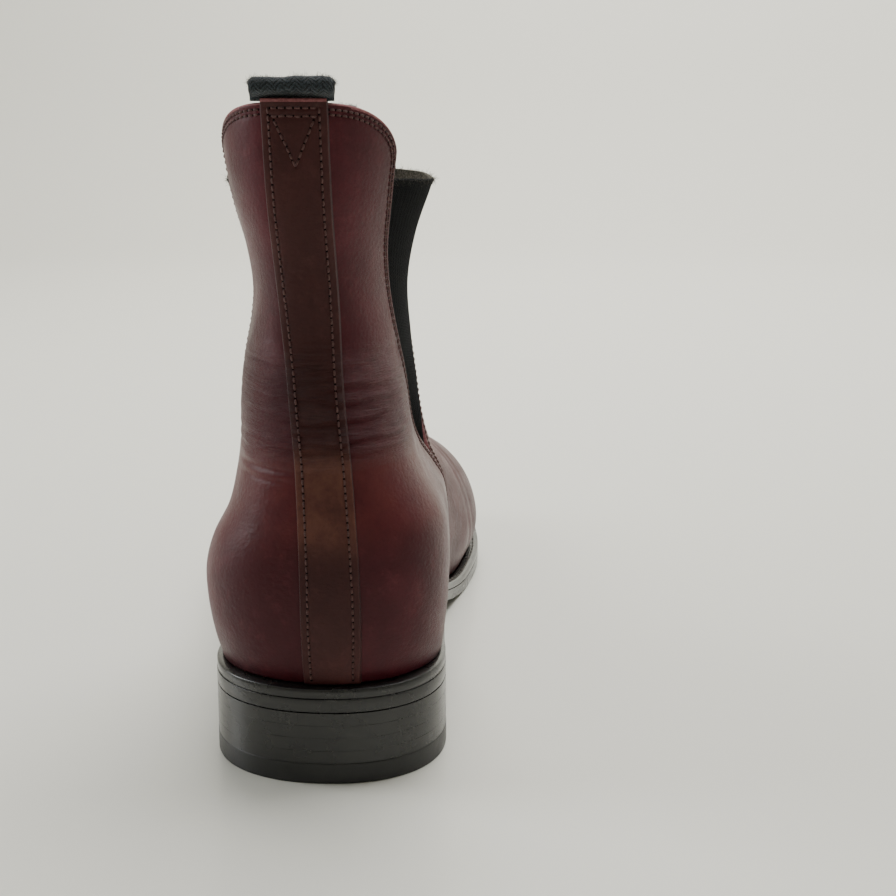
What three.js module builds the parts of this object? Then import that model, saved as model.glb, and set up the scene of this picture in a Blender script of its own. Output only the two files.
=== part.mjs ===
// A chelsea boot for the left foot, in millimetres. +Z is up, +Y points to the toe and +X to the inner
// side of the foot. The origin is the centre of the heel's tread, on the floor.
// The upper is one smooth form. Every leather, lining and stiffener is a shell cut from that form at its
// own depth below the outer skin, so the layers nest with a small gap between them.
import * as THREE from 'three';

// ---- driving dimensions ----
const GAP = 0.5;                 // clearance between neighbouring layers
const SEAM = 0.4;                // clearance along a butted seam
const BACK_SEAM = 0.1;           // the same between the two halves of the back
const LEATHER = 1.8;             // vamp and quarters
const CORE = 1.4;                // elastic, counter, puff and loop tails
const LINING = 1.1;
const STRIP = 1.1;               // backstay strip, standing proud of the quarters

const CORE_OUT = LEATHER + GAP;
const CORE_IN = CORE_OUT + CORE;
const LINING_OUT = CORE_IN + GAP;
const LINING_IN = LINING_OUT + LINING;

const TOE_Y = 258.5;             // front of the upper, the welt reaches further
const HEEL_SEAT = 28.2;          // height of the ledge the heel of the upper stands on
const BALL_SEAT = 7;             // the same under the ball of the foot
const TOE_SPRING = 11;
const BREAST_Y = 36;             // front face of the heel block
const TOP_Z = 187;               // topline at the back
const STRIP_TOP_Z = TOP_Z + 1.1;
const TOP_FALL = 14;             // fall of the topline from the back strip to the quarters' front edges
const GUSSET_TOP_Z = 166.5;
const GUSSET_FOOT_Z = 80;        // lowest point where the elastic shows
const UNDERLAP = 5;              // elastic held under the leather on each side
const BEND_SLICE = 12.5;         // slice where the front of the shaft bends away from the vamp
const TOP_SLICE = 21;

const WELT = 2.7;
const SOLE = 3.85;
const TOP_PIECE = 6;
const LIFTS = 4;
const NAILS = 5;
const LOOP_WIDTH = 22;
const SEAT_INSET = 3.5;          // how far welt and rand reach in under the upper
const WAIST_Y = 66;              // where the heel rand meets the welt

// ---- the form ----
// Slices through the foot, from the toe tip to the topline. In side view each runs from a point under the
// foot or behind the heel to a point on the front line; round is how deep its front is rounded.
const SLICES = [
  { low: [258.5, 16.9], high: [258.5, 17.7], round: 20 },
  { low: [257, 14], high: [256.5, 31], round: 20 },
  { low: [253, 12], high: [251.5, 37.5], round: 24 },
  { low: [245, 10], high: [242, 43.5], round: 28 },
  { low: [231, 7], high: [227, 48.5], round: 32 },
  { low: [208, 4], high: [205, 53.5], round: 38 },
  { low: [178, 3], high: [178, 60], round: 44 },
  { low: [148, 3], high: [150, 68], round: 52 },
  { low: [118, 5], high: [122, 78.5], round: 60 },
  { low: [88, 11], high: [98, 91.5], round: 66 },
  { low: [55, 18], high: [82, 102], round: 68 },
  { low: [20, 22], high: [74, 109.5], round: 62 },
  { low: [-12, 23], high: [70.5, 116], round: 56 },
  { low: [-33, 25.8], high: [69, 121], round: 50 },
  { low: [-35.6, 36], high: [68, 126.5], round: 46 },
  { low: [-36.3, 52], high: [67.6, 133], round: 43 },
  { low: [-34.5, 72], high: [67.4, 140], round: 41 },
  { low: [-30, 94], high: [67.4, 147], round: 40 },
  { low: [-27, 116], high: [67.6, 154.5], round: 39 },
  { low: [-27.5, 140], high: [68, 163], round: 42 },
  { low: [-30, 164], high: [68.5, 171.5], round: 52 },
  { low: [-31, 188], high: [69, 179.5], round: 60 },
];
const HEEL_ROUND = 35;           // how deep the back of the heel is rounded
const BACK_POWER = 2.2;
const FRONT_POWER = 2.1;
const SHAFT_ROUND = { lateral: 36.7, medial: 52 };   // the same at the top of the shaft
const SHAFT_POWER = { lateral: 2.2, medial: 1.75 };
const TOP_POWER = { lateral: 1.45, medial: 1.7 };    // roundness of the quarters' top corners

// Sideways reach of the shaft and heel, as [height, x].
const SHAFT_LATERAL = [[22, -31.5], [28, -33], [36, -34.9], [47, -36.5], [56, -36.6], [64, -34.4], [73, -29.8],
  [84, -27.2], [92, -26.2], [105, -26], [115, -25], [127, -22.6], [136, -21.7], [148, -23.2], [160, -26.3],
  [176, -28.8], [190, -29.2]];
const SHAFT_MEDIAL = [[22, 31.3], [28, 32.6], [36, 33.6], [47, 34.6], [60, 34.8], [71, 33], [78, 29.4], [86, 25.8],
  [95, 23.6], [107, 22.4], [120, 21.6], [135, 21], [150, 22.4], [163, 25], [176, 27.6], [190, 28.4]];
const SHAFT_CENTRE = [[28, 2.2], [60, 1.9], [88, 0.4], [106, -1.3], [131, -3], [158, -4.8], [187, -5.7]];
// Sideways reach of the foot, as [slice, x].
const FOOT_LATERAL = [[0, 6], [1, -4.5], [2, -13.5], [3, -24.5], [4, -35.5], [5, -46.5], [6, -52], [7, -51.5],
  [8, -46.2], [9, -40.7], [10, -37.4], [12, -37], [15, -32], [17, -29], [21, -31]];
const FOOT_MEDIAL = [[0, 6], [1, 13.5], [2, 21.5], [3, 30.5], [4, 38.5], [5, 45], [6, 46.5], [7, 42.2],
  [8, 34.7], [9, 30], [10, 30.4], [12, 33.5], [14, 30.5], [16, 25.5], [18, 23], [21, 23]];
const FOOT_CENTRE = [[0, 6], [4, 6], [6, 4], [7, 1.9], [8, 0.5], [9, 0], [10, 0.5], [12, 1]];

// Front edge of the medial quarter and rear edge of the front shaft, as [height, y]. They share the seam
// below the elastic and part above it. The lateral quarter reaches further round by the shift.
const QUARTER_EDGE = [[16, 75], [24, 69.5], [40, 57], [60, 45], [80, 33], [88, 23.5], [96, 16], [107, 9.5],
  [120, 4], [135, 1.5], [150, -1.5], [170, -5.5], [190, -6.5]];
const LATERAL_SHIFT = 7;
const SHAFT_EDGE = [[80, 33], [95, 40], [115, 45.5], [140, 49.5], [165, 52], [190, 53]];
const BACKSTAY_HALF = [[28, 8], [45, 8.4], [60, 8.3], [80, 8], [97, 7.8], [116, 7.8], [130, 8.2], [156, 8.65],
  [190, 8.9]];
// How far the elastic stands out past the form at the middle of its width, as [height, distance].
const BULGE_LATERAL = [[78, 0], [100, 3.7], [135, 4.5], [166, 6.2]];
const BULGE_MEDIAL = [[78, 0], [90, 2], [100, 2.6], [118, 2.2], [135, 2.7], [150, 4.4], [166, 7.1]];

const clamp = (value, low, high) => Math.min(high, Math.max(low, value));

function ease(start, end, value) {
  const s = clamp((value - start) / (end - start), 0, 1);
  return s * s * (3 - 2 * s);
}

// Smooth curve through a table of [x, value].
function curve(table, x) {
  const last = table.length - 1;
  const at = clamp(x, table[0][0], table[last][0]);
  let i = 0;
  while (i < last - 1 && table[i + 1][0] <= at) i += 1;
  const slope = (k) => (table[k + 1][1] - table[k][1]) / (table[k + 1][0] - table[k][0]);
  const tangent = (k) => (slope(clamp(k - 1, 0, last - 1)) + slope(clamp(k, 0, last - 1))) / 2;
  const h = table[i + 1][0] - table[i][0];
  const s = (at - table[i][0]) / h;
  const rise = (2 * s ** 3 - 3 * s ** 2 + 1) * table[i][1] + (3 * s ** 2 - 2 * s ** 3) * table[i + 1][1];
  return rise + (s ** 3 - 2 * s ** 2 + s) * h * tangent(i) + (s ** 3 - s ** 2) * h * tangent(i + 1);
}

const column = (value) => SLICES.map((cut, k) => [k, value(cut)]);
const LOW_Y = column((slice) => slice.low[0]);
const LOW_Z = column((slice) => slice.low[1]);
const HIGH_Y = column((slice) => slice.high[0]);
const HIGH_Z = column((slice) => slice.high[1]);
const ROUND = column((slice) => slice.round);
const BACK_LINE = SLICES.slice(13).map((slice) => [slice.low[1], slice.low[0]]);

const backLine = (z) => curve(BACK_LINE, z);
const shaftEdge = (z) => curve(z < GUSSET_FOOT_Z ? QUARTER_EDGE : SHAFT_EDGE, z);

function quarterEdge(z, side) {
  const shift = side < 0 ? LATERAL_SHIFT * ease(GUSSET_FOOT_Z, 150, z) : 0;
  return curve(QUARTER_EDGE, z) + shift;
}

// How deep and how squarely the back is rounded: full at the heel, easing to the shaft's own values.
const shaftShare = (z) => ease(90, 150, z);
const pick = (side, pair) => (side < 0 ? pair.lateral : pair.medial);
const backRound = (side, z) => HEEL_ROUND + (pick(side, SHAFT_ROUND) - HEEL_ROUND) * shaftShare(z);
const backPower = (side, z) => BACK_POWER + (pick(side, SHAFT_POWER) - BACK_POWER) * shaftShare(z);

// Height of the quarters' topline: level at the back strip, then falling in a broad round.
function topLine(y, side) {
  const start = backLine(TOP_Z) + 2;
  const s = clamp((y - start) / (quarterEdge(TOP_Z, side) - start), 0, 1);
  const power = pick(side, TOP_POWER);
  return TOP_Z - TOP_FALL * (1 - (1 - s ** power) ** (1 / power));
}

// Height of the ledge that the upper stands on: high at the heel, flat under the ball, rising at the toe.
function ledge(y) {
  const toe = clamp((y - 155) / 107, 0, 1.2);
  return HEEL_SEAT - (HEEL_SEAT - BALL_SEAT) * ease(BREAST_Y - 2, 146, y) + TOE_SPRING * toe ** 2;
}

// Share of the full width left near a rounded end: 0 at the end, 1 once past the rounding.
function rounding(run, depth, power) {
  const r = clamp(run / depth, 0, 1);
  return (1 - (1 - r) ** power) ** (1 / power);
}

function slice(u) {
  const low = [curve(LOW_Y, u), curve(LOW_Z, u)];
  const high = [curve(HIGH_Y, u), curve(HIGH_Z, u)];
  const length = Math.hypot(high[0] - low[0], high[1] - low[1]);
  return { u, low, high, length, round: Math.min(curve(ROUND, u), length * 0.92) };
}

// The slice through a place in side view, found by halving.
function sliceThrough(y, z) {
  let bottom = 0;
  let top = TOP_SLICE;
  for (let k = 0; k < 40; k += 1) {
    const u = (bottom + top) / 2;
    const { low, high } = slice(u);
    const cross = (high[0] - low[0]) * (z - low[1]) - (high[1] - low[1]) * (y - low[0]);
    if (cross > 0) bottom = u;
    else top = u;
  }
  return slice((bottom + top) / 2);
}

// How far a depth goes sideways and how far it goes back from the toe.
const sideShare = (u) => Math.sin(clamp(u / 5, 0, 1) * Math.PI / 2);
const toeShare = (u) => Math.cos(clamp(u / 5, 0, 1) * Math.PI / 2);

// A point of the form at a place in side view. side is -1 for lateral and 1 for medial.
function formPoint(side, cut, y, z, depth) {
  const foot = ease(15, 95, y);
  const shaftX = curve(side < 0 ? SHAFT_LATERAL : SHAFT_MEDIAL, z);
  const footX = curve(side < 0 ? FOOT_LATERAL : FOOT_MEDIAL, cut.u);
  const centre = curve(SHAFT_CENTRE, z) * (1 - foot) + curve(FOOT_CENTRE, cut.u) * foot;
  const full = Math.abs(shaftX * (1 - foot) + footX * foot - centre);
  const inward = depth * sideShare(cut.u);
  const frontRun = Math.hypot(cut.high[0] - y, cut.high[1] - z) - inward;
  const front = rounding(frontRun, cut.round - inward, FRONT_POWER);
  const back = rounding(y - backLine(z) - depth, backRound(side, z) - depth, backPower(side, z));
  const low = clamp(1 - (z - ledge(y)) / 14, 0, 1.3);
  const tuck = 1 - 0.1 * low ** 2 * ease(30, 110, y);
  const reach = Math.max(0, full * tuck - inward) * front * back;
  return new THREE.Vector3(centre + side * reach, y - depth * toeShare(cut.u), z);
}

const skin = (side, y, z, depth) => formPoint(side, sliceThrough(y, z), y, z, depth);

// Place on a slice where a test turns from false to true, as a share of its length.
function shareWhere(cut, test) {
  let before = 0;
  let after = 1;
  for (let k = 0; k < 40; k += 1) {
    const t = (before + after) / 2;
    const y = cut.low[0] + (cut.high[0] - cut.low[0]) * t;
    const z = cut.low[1] + (cut.high[1] - cut.low[1]) * t;
    if (test(y, z)) after = t;
    else before = t;
  }
  return (before + after) / 2;
}

// ---- closed solids ----
// Welds corners that meet, drops empty triangles and turns the faces outwards.
function closedGeometry(points, triangles) {
  const index = new Map();
  const welded = [];
  const place = points.map((p) => {
    const key = [p.x, p.y, p.z].map((v) => Math.round(v * 1000)).join(' ');
    if (!index.has(key)) {
      index.set(key, welded.length);
      welded.push(p);
    }
    return index.get(key);
  });
  const faces = triangles.map((face) => face.map((k) => place[k]));
  const kept = faces.filter(([a, b, c]) => a !== b && b !== c && c !== a);
  const cross = new THREE.Vector3();
  const volume = kept.reduce((sum, [a, b, c]) => {
    cross.crossVectors(welded[b], welded[c]);
    return sum + welded[a].dot(cross);
  }, 0);
  const turned = volume < 0 ? kept.map(([a, b, c]) => [a, c, b]) : kept;
  const geometry = new THREE.BufferGeometry();
  geometry.setAttribute('position', new THREE.Float32BufferAttribute(welded.flatMap((p) => p.toArray()), 3));
  geometry.setIndex(turned.flat());
  geometry.computeVertexNormals();
  return geometry;
}

// A shell between two faces, each a grid of points given by row and column share.
function shell(rows, columns, outer, inner) {
  const points = [];
  const triangles = [];
  const wide = columns.length;
  const count = rows.length * wide;
  for (const face of [outer, inner]) {
    for (const row of rows) {
      for (const col of columns) points.push(face(row, col));
    }
  }
  const quad = (a, b, c, d) => triangles.push([a, b, c], [a, c, d]);
  for (let i = 0; i < rows.length - 1; i += 1) {
    for (let j = 0; j < wide - 1; j += 1) {
      const a = i * wide + j;
      quad(a, a + 1, a + wide + 1, a + wide);
      quad(count + a, count + a + wide, count + a + wide + 1, count + a + 1);
    }
  }
  for (let j = 0; j < wide - 1; j += 1) {
    const top = (rows.length - 1) * wide + j;
    quad(j, count + j, count + j + 1, j + 1);
    quad(top, top + 1, count + top + 1, count + top);
  }
  for (let i = 0; i < rows.length - 1; i += 1) {
    const left = i * wide;
    const right = left + wide - 1;
    quad(left, left + wide, count + left + wide, count + left);
    quad(right, count + right, count + right + wide, right + wide);
  }
  return closedGeometry(points, triangles);
}

const steps = (from, to, count) => Array.from({ length: count + 1 }, (_, k) => from + (to - from) * k / count);

// ---- finishes ----
const leatherFinish = new THREE.MeshStandardMaterial({ color: 0x4a1f26, roughness: 0.36, metalness: 0 });
const stripFinish = new THREE.MeshStandardMaterial({ color: 0x42211f, roughness: 0.38, metalness: 0 });
const liningFinish = new THREE.MeshStandardMaterial({ color: 0x8a6a4c, roughness: 0.7, metalness: 0 });
const elasticFinish = new THREE.MeshStandardMaterial({ color: 0x17171b, roughness: 0.9, metalness: 0 });
const webbingFinish = new THREE.MeshStandardMaterial({ color: 0x1c2026, roughness: 0.92, metalness: 0 });
const edgeFinish = new THREE.MeshStandardMaterial({ color: 0x121214, roughness: 0.3, metalness: 0 });
const rubberFinish = new THREE.MeshStandardMaterial({ color: 0x151516, roughness: 0.55, metalness: 0 });
const boardFinish = new THREE.MeshStandardMaterial({ color: 0xa98a62, roughness: 0.85, metalness: 0 });
const corkFinish = new THREE.MeshStandardMaterial({ color: 0x7d5a3a, roughness: 0.95, metalness: 0 });
const steelFinish = new THREE.MeshStandardMaterial({ color: 0x9a9ca0, roughness: 0.35, metalness: 1 });

const boot = new THREE.Group();

function add(name, geometry, material) {
  const mesh = new THREE.Mesh(geometry, material);
  mesh.name = name;
  boot.add(mesh);
}

// ---- heel block ----
// Outline of the upper where it meets the ledge, in plan, grown outwards. along is 0 at the back, 1 at the toe.
function rimBase(side, along) {
  const back = backLine(HEEL_SEAT);
  const y = back + (TOE_Y - back) * (1 - Math.cos(Math.PI * along)) / 2;
  const point = skin(side, y, ledge(y), 0);
  return new THREE.Vector2(point.x, y);
}

function rim(side, along, grow) {
  const here = rimBase(side, along);
  if (along <= 0 || along >= 1) {
    here.y += along <= 0 ? -grow : grow;
    return here;
  }
  const run = rimBase(side, Math.min(1, along + 0.004)).sub(rimBase(side, Math.max(0, along - 0.004)));
  const normal = new THREE.Vector2(side * run.y, -side * run.x).normalize();
  return here.addScaledVector(normal, grow);
}

function alongAt(y) {
  const back = backLine(HEEL_SEAT);
  return Math.acos(1 - 2 * (y - back) / (TOE_Y - back)) / Math.PI;
}

// How far the bottom stands out past the upper: proud at the heel and toe, closer at the waist.
const proud = (y) => 4.4 - 3.6 * ease(-34, 8, y) + 3.9 * ease(60, 130, y);

function heelOutline(grow) {
  const shape = new THREE.Shape();
  const reach = alongAt(BREAST_Y);
  const shares = steps(0, 1, 12).map((s) => reach * s ** 0.85);
  const plan = (side, along) => rim(side, along, proud(rimBase(side, along).y) + grow);
  const lateral = shares.map((along) => plan(-1, along)).reverse();
  const medial = shares.slice(1).map((along) => plan(1, along));
  const outline = [...lateral, ...medial];
  shape.moveTo(outline[0].x, outline[0].y);
  outline.slice(1).forEach((p) => shape.lineTo(p.x, p.y));
  shape.quadraticCurveTo(0, BREAST_Y - 9, outline[0].x, outline[0].y);
  return shape;
}

// Five nails in a horseshoe, well inside the edge.
const nailPlaces = steps(-1, 1, NAILS - 1).map((s) => {
  const angle = s * Math.PI * 0.62;
  return [1 + 20 * Math.sin(angle), -4 - 20 * Math.cos(angle)];
});

function heelLayer(bottom, top, grow, holeRadius) {
  const shape = heelOutline(grow);
  for (const [x, y] of nailPlaces) {
    const hole = new THREE.Path();
    hole.absarc(x, y, holeRadius, 0, Math.PI * 2, true);
    shape.holes.push(hole);
  }
  const options = { depth: top - bottom, bevelEnabled: false, curveSegments: 5 };
  const geometry = new THREE.ExtrudeGeometry(shape, options);
  geometry.translate(0, 0, bottom);
  return geometry;
}

function nail() {
  const profile = [[0, 0.6], [2, 0.6], [2, 1.8], [1, 2.2], [1, 19.4], [0, 20.4]];
  return new THREE.LatheGeometry(profile.map(([r, z]) => new THREE.Vector2(r, z)), 8).rotateX(Math.PI / 2);
}

function makeHeel() {
  const heelTop = HEEL_SEAT - WELT - 0.45 - SOLE - 0.3;
  const layer = (heelTop - TOP_PIECE - 0.2 * LIFTS) / LIFTS;
  add('heel_top_piece', heelLayer(0, TOP_PIECE, 0.2, 2.5), rubberFinish);
  for (let k = 0; k < LIFTS; k += 1) {
    const bottom = TOP_PIECE + 0.2 + k * (layer + 0.2);
    add(`heel_lift_${k + 1}`, heelLayer(bottom, bottom + layer, 0.1 * ((k % 2) - 1), 1.5), edgeFinish);
  }
  nailPlaces.forEach(([x, y], k) => {
    const geometry = nail();
    geometry.translate(x, y, 0);
    add(`heel_nail_${k + 1}`, geometry, steelFinish);
  });
}

// ---- bottom ----
// Every bottom layer shares one division of the foot's length, so curved layers nest without touching.
const DIVISIONS = 44;
const nearest = (y) => Math.round(alongAt(y) * DIVISIONS);
const shares = (from, to) => steps(from, to, Math.ceil(to - from)).map((k) => k / DIVISIONS);

// A layer between two heights above or below the ledge, spanning the foot from side to side.
function bottomSlab(from, to, inset, under, over) {
  const face = (height) => (along, side) => {
    const point = rim(side, along, -inset(rimBase(side, along).y));
    return new THREE.Vector3(point.x, point.y, ledge(point.y) + height);
  };
  return shell(shares(from, to), [-1, 1], face(over), face(under));
}

// A flat strip that follows the edge of the upper between two heights measured from the ledge.
function edgeStrip(ways, outer, under, over) {
  const face = (height) => ({ side, along }, across) => {
    const grow = across ? outer(rimBase(side, along).y) : -SEAT_INSET;
    const point = rim(side, along, grow);
    return new THREE.Vector3(point.x, point.y, ledge(point.y) + height);
  };
  return shell(ways, [0, 1], face(over), face(under));
}

// The way round one end of the foot, from the lateral side to the medial side.
function wayRound(alongs) {
  const lateral = alongs.map((along) => ({ side: -1, along }));
  const medial = alongs.slice(0, -1).map((along) => ({ side: 1, along })).reverse();
  return [...lateral, ...medial];
}

function makeBottom() {
  const waist = nearest(WAIST_Y);
  const front = shares(waist + 0.1, DIVISIONS);
  const rear = shares(0, waist - 0.1).reverse();
  const under = -0.15 - WELT;
  const soleTop = under - 0.3;
  add('welt', edgeStrip(wayRound(front), proud, under, -0.15), edgeFinish);
  add('heel_rand', edgeStrip(wayRound(rear), (y) => proud(y) - 0.5, under, -0.15), edgeFinish);
  add('outsole', bottomSlab(0, DIVISIONS, (y) => -proud(y), soleTop - SOLE, soleTop), edgeFinish);
  add('cork_filler', bottomSlab(nearest(102), nearest(252), () => SEAT_INSET + 0.7, -2.6, -0.3), corkFinish);
  add('seat_filler', bottomSlab(0, nearest(8), () => SEAT_INSET + 0.7, -2.6, -0.3), boardFinish);
  add('insole', bottomSlab(0, DIVISIONS, () => LINING_IN + 0.7, 0.2, 2.6), boardFinish);
  add('sock_liner', bottomSlab(0, DIVISIONS, () => LINING_IN + 1.1, 3, 4.2), liningFinish);
  add('shank', makeShank(), steelFinish);
}

// A thin steel strip under the arch, following the rise of the waist, with rounded ends.
function makeShank() {
  const rows = [14, 15, 17, ...steps(20, 92, 9), 95, 97, 98];
  const face = (height) => (y, side) => {
    const end = Math.min(1, Math.min(y - 14, 98 - y) / 8);
    const half = 3 + 4.5 * Math.sqrt(1 - (1 - end) ** 2);
    return new THREE.Vector3(-1 + side * half, y, ledge(y) + height);
  };
  return shell(rows, [-1, 1], face(-1), face(-2.2));
}

// ---- upper ----
// The back parts in rows of equal rise. across is 0 at the back centre line and 1 at the front edge.
function quarterPoint(side, rise, across, depth, bottomGap, topDrop) {
  const share = 1 - Math.cos(across * Math.PI / 2);
  const yAt = (z) => {
    const back = backLine(z) + depth;
    return back + (quarterEdge(z, side) - SEAM / 2 - back) * share;
  };
  let low = HEEL_SEAT;
  let high = TOP_Z;
  for (let k = 0; k < 8; k += 1) {
    low = ledge(yAt(low)) + bottomGap;
    high = topLine(yAt(high), side) - topDrop;
  }
  const z = low + (high - low) * rise;
  const point = skin(side, yAt(z), z, depth);
  point.x += side * BACK_SEAM / 2;
  return point;
}

function quarterShell(side, out, inn, topDrop) {
  const face = (depth) => (rise, across) => quarterPoint(side, rise, across, depth, 0.15, topDrop);
  return shell(steps(0, 1, 20), [...steps(0, 0.85, 10), 0.9, 0.95, 1], face(out), face(inn));
}

// The front parts on the slices. across runs from -1 at the lateral edge over the front line to 1.
function frontPoint(u, across, depth, bottomGap) {
  const cut = slice(u);
  const side = across < 0 ? -1 : 1;
  const onLedge = shareWhere(cut, (y, z) => z > ledge(y) + bottomGap);
  const onSeam = shareWhere(cut, (y, z) => y > shaftEdge(z) + SEAM / 2);
  const start = Math.max(onLedge, onSeam);
  const end = 1 - depth * sideShare(u) / cut.length;
  const t = start + (end - start) * Math.sin((1 - Math.abs(across)) * Math.PI / 2);
  const y = cut.low[0] + (cut.high[0] - cut.low[0]) * t;
  const z = cut.low[1] + (cut.high[1] - cut.low[1]) * t;
  return formPoint(side, cut, y, z, depth);
}

function seamFootSlice() {
  let z = HEEL_SEAT;
  for (let k = 0; k < 20; k += 1) z = ledge(shaftEdge(z));
  return sliceThrough(shaftEdge(z) + SEAM / 2, z + 0.15).u;
}

function vampShell(out, inn, columns) {
  const foot = seamFootSlice();
  const rows = [0, 0.15, 0.35, 0.65, 1, 1.5, 2, 2.6, 3.3, 4.1, 5, 6, 7, 8, 9, foot, 10, 10.5, 11, 11.5, 12];
  const face = (depth) => (u, across) => frontPoint(u, across, depth, 0.15);
  return shell([...rows, BEND_SLICE - 0.04], steps(-1, 1, columns), face(out), face(inn));
}

// The front of the shaft, above the bending line, with both top corners rounded.
function frontShaftShell(out, inn, topDrop) {
  const bottom = BEND_SLICE + 0.04;
  const face = (depth) => (rise, across) => {
    const short = 1 - Math.abs(across);
    const corner = short < 0.34 ? 1 - Math.sqrt(1 - ((0.34 - short) / 0.34) ** 2) : 0;
    const top = TOP_SLICE - topDrop / 9 - 1.1 * corner;
    return frontPoint(bottom + (top - bottom) * rise, across, depth, 0.15);
  };
  const half = [...steps(0, 0.34, 5), ...steps(0.34, 1, 6).slice(1)];
  const columns = [...half.map((s) => s - 1), ...half.slice(0, -1).map((s) => 1 - s).reverse()];
  return shell(steps(0, 1, 11), columns, face(out), face(inn));
}

// The elastic swells outwards between the leather edges, most at its loose top edge.
function gussetShell(side, bulges) {
  const low = GUSSET_FOOT_Z - 6;
  const face = (depth) => (rise, across) => {
    const level = low + (GUSSET_TOP_Z - low) * rise;
    const back = Math.min(quarterEdge(level, side), shaftEdge(level));
    const wide = Math.max(0.01, shaftEdge(level) - back);
    const y = back - UNDERLAP + (wide + 2 * UNDERLAP) * across;
    const inside = clamp((y - back - 1) / Math.max(0.01, wide - 2), 0, 1);
    const point = skin(side, y, level - 0.8 * Math.sin(Math.PI * across) * rise ** 6, depth);
    point.x += side * curve(bulges, level) * Math.sin(Math.PI * inside) ** 1.1;
    return point;
  };
  return shell(steps(0, 1, 12), steps(0, 1, 14), face(CORE_OUT), face(CORE_IN));
}

// A point near the back centre line, set out by its sideways distance from that line.
function backPoint(offset, z, depth) {
  const side = offset < 0 ? -1 : 1;
  const centre = curve(SHAFT_CENTRE, z);
  const full = Math.abs(curve(side < 0 ? SHAFT_LATERAL : SHAFT_MEDIAL, z) - centre) - depth;
  const share = Math.abs(offset) / full;
  const power = backPower(side, z);
  const run = (backRound(side, z) - depth) * (1 - (1 - share ** power) ** (1 / power));
  return new THREE.Vector3(centre + offset, backLine(z) + depth + run, z);
}

function makeBackstay() {
  const face = (depth) => (z, across) => backPoint(across * curve(BACKSTAY_HALF, z), z, depth);
  const low = HEEL_SEAT + 0.4;
  return shell(steps(low, STRIP_TOP_Z, 22), steps(-1, 1, 6), face(-0.3 - STRIP), face(-0.3));
}

function makeCounter() {
  const face = (depth) => (rise, across) => {
    const side = across < 0 ? -1 : 1;
    const reach = 30 - 10 * rise ** 2;
    const low = HEEL_SEAT + 0.6;
    const z = low + (74 - 14 * Math.abs(across) ** 3 - low) * rise;
    const back = backLine(z) + depth;
    const y = back + (reach - back) * (1 - Math.cos(Math.abs(across) * Math.PI / 2));
    return skin(side, y, Math.max(z, ledge(y) + 0.4), depth);
  };
  return shell(steps(0, 1, 8), steps(-1, 1, 24), face(CORE_OUT), face(CORE_IN));
}

function makePuff() {
  const rows = [0, 0.15, 0.35, 0.65, 1, 1.5, 2, 2.6, 3.3, 4.1];
  const face = (depth) => (u, across) => frontPoint(u, across, depth, 0.4);
  return shell(rows, steps(-1, 1, 16), face(CORE_OUT), face(CORE_IN - 0.4));
}

function makeUpper() {
  add('toe_puff', makePuff(), boardFinish);
  add('heel_counter', makeCounter(), boardFinish);
  add('vamp', vampShell(0, LEATHER, 24), leatherFinish);
  add('front_shaft', frontShaftShell(0, LEATHER, 0), leatherFinish);
  add('quarter_lateral', quarterShell(-1, 0, LEATHER, 0), leatherFinish);
  add('quarter_medial', quarterShell(1, 0, LEATHER, 0), leatherFinish);
  add('backstay', makeBackstay(), stripFinish);
  add('gusset_lateral', gussetShell(-1, BULGE_LATERAL), elasticFinish);
  add('gusset_medial', gussetShell(1, BULGE_MEDIAL), elasticFinish);
  add('vamp_lining', vampShell(LINING_OUT, LINING_IN, 20), liningFinish);
  add('front_shaft_lining', frontShaftShell(LINING_OUT, LINING_IN, 1), liningFinish);
  add('quarter_lining_lateral', quarterShell(-1, LINING_OUT, LINING_IN, 1), liningFinish);
  add('quarter_lining_medial', quarterShell(1, LINING_OUT, LINING_IN, 1), liningFinish);
}

// ---- pull loops ----
const WEB = 1;                   // webbing thickness
const NECK = 1.5;                // height of the front loop's hinge line above the leather
const REAR_NECK = 1.2;            // the same above the backstay
const LOOP_HEIGHT = 6.5;
const LOOP_DEPTH = 8.4;

// A flattened ring of webbing that narrows to its neck, standing on the origin. Its two ends lie side by
// side in the neck.
function loopBody(height, depth) {
  const half = depth / 2 - WEB / 2;
  const top = height - WEB / 2;
  const side = [[WEB / 2 + 0.1, -0.6], [half * 0.52, 0.5], [half * 0.93, 1.8], [half, top * 0.62],
    [half * 0.7, top * 0.93], [half * 0.35, top]];
  const front = side.map(([y, z]) => new THREE.Vector2(y, z));
  const back = side.map(([y, z]) => new THREE.Vector2(-y, z)).reverse();
  const path = new THREE.SplineCurve([...front, new THREE.Vector2(0, top + 0.02), ...back]);
  const face = (lift) => (along, across) => {
    const point = path.getPoint(along);
    const run = path.getTangent(along);
    const y = along === 0 || along === 1 ? point.x + Math.sign(point.x) * lift : point.x + run.y * lift;
    const z = along === 0 || along === 1 ? point.y : point.y - run.x * lift;
    return new THREE.Vector3(across * LOOP_WIDTH / 2, y, z);
  };
  return shell(steps(0, 1, 22), [-1, 1], face(WEB / 2), face(-WEB / 2));
}

function placedLoop(hinge) {
  const geometry = loopBody(LOOP_HEIGHT, LOOP_DEPTH);
  geometry.translate(hinge.x, hinge.y, hinge.z);
  return geometry;
}

// The loops swing about lines just above the topline, over the middle of their sewn tails.
const topCentre = curve(SHAFT_CENTRE, TOP_Z);
const tailDepth = (CORE_OUT + CORE_IN) / 2;
const [frontY, frontZ] = slice(TOP_SLICE).high;
const rearHinge = new THREE.Vector3(topCentre - 0.5, backLine(TOP_Z) + tailDepth, STRIP_TOP_Z + REAR_NECK);
const frontHinge = new THREE.Vector3(topCentre, frontY - tailDepth, frontZ + NECK);

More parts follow.
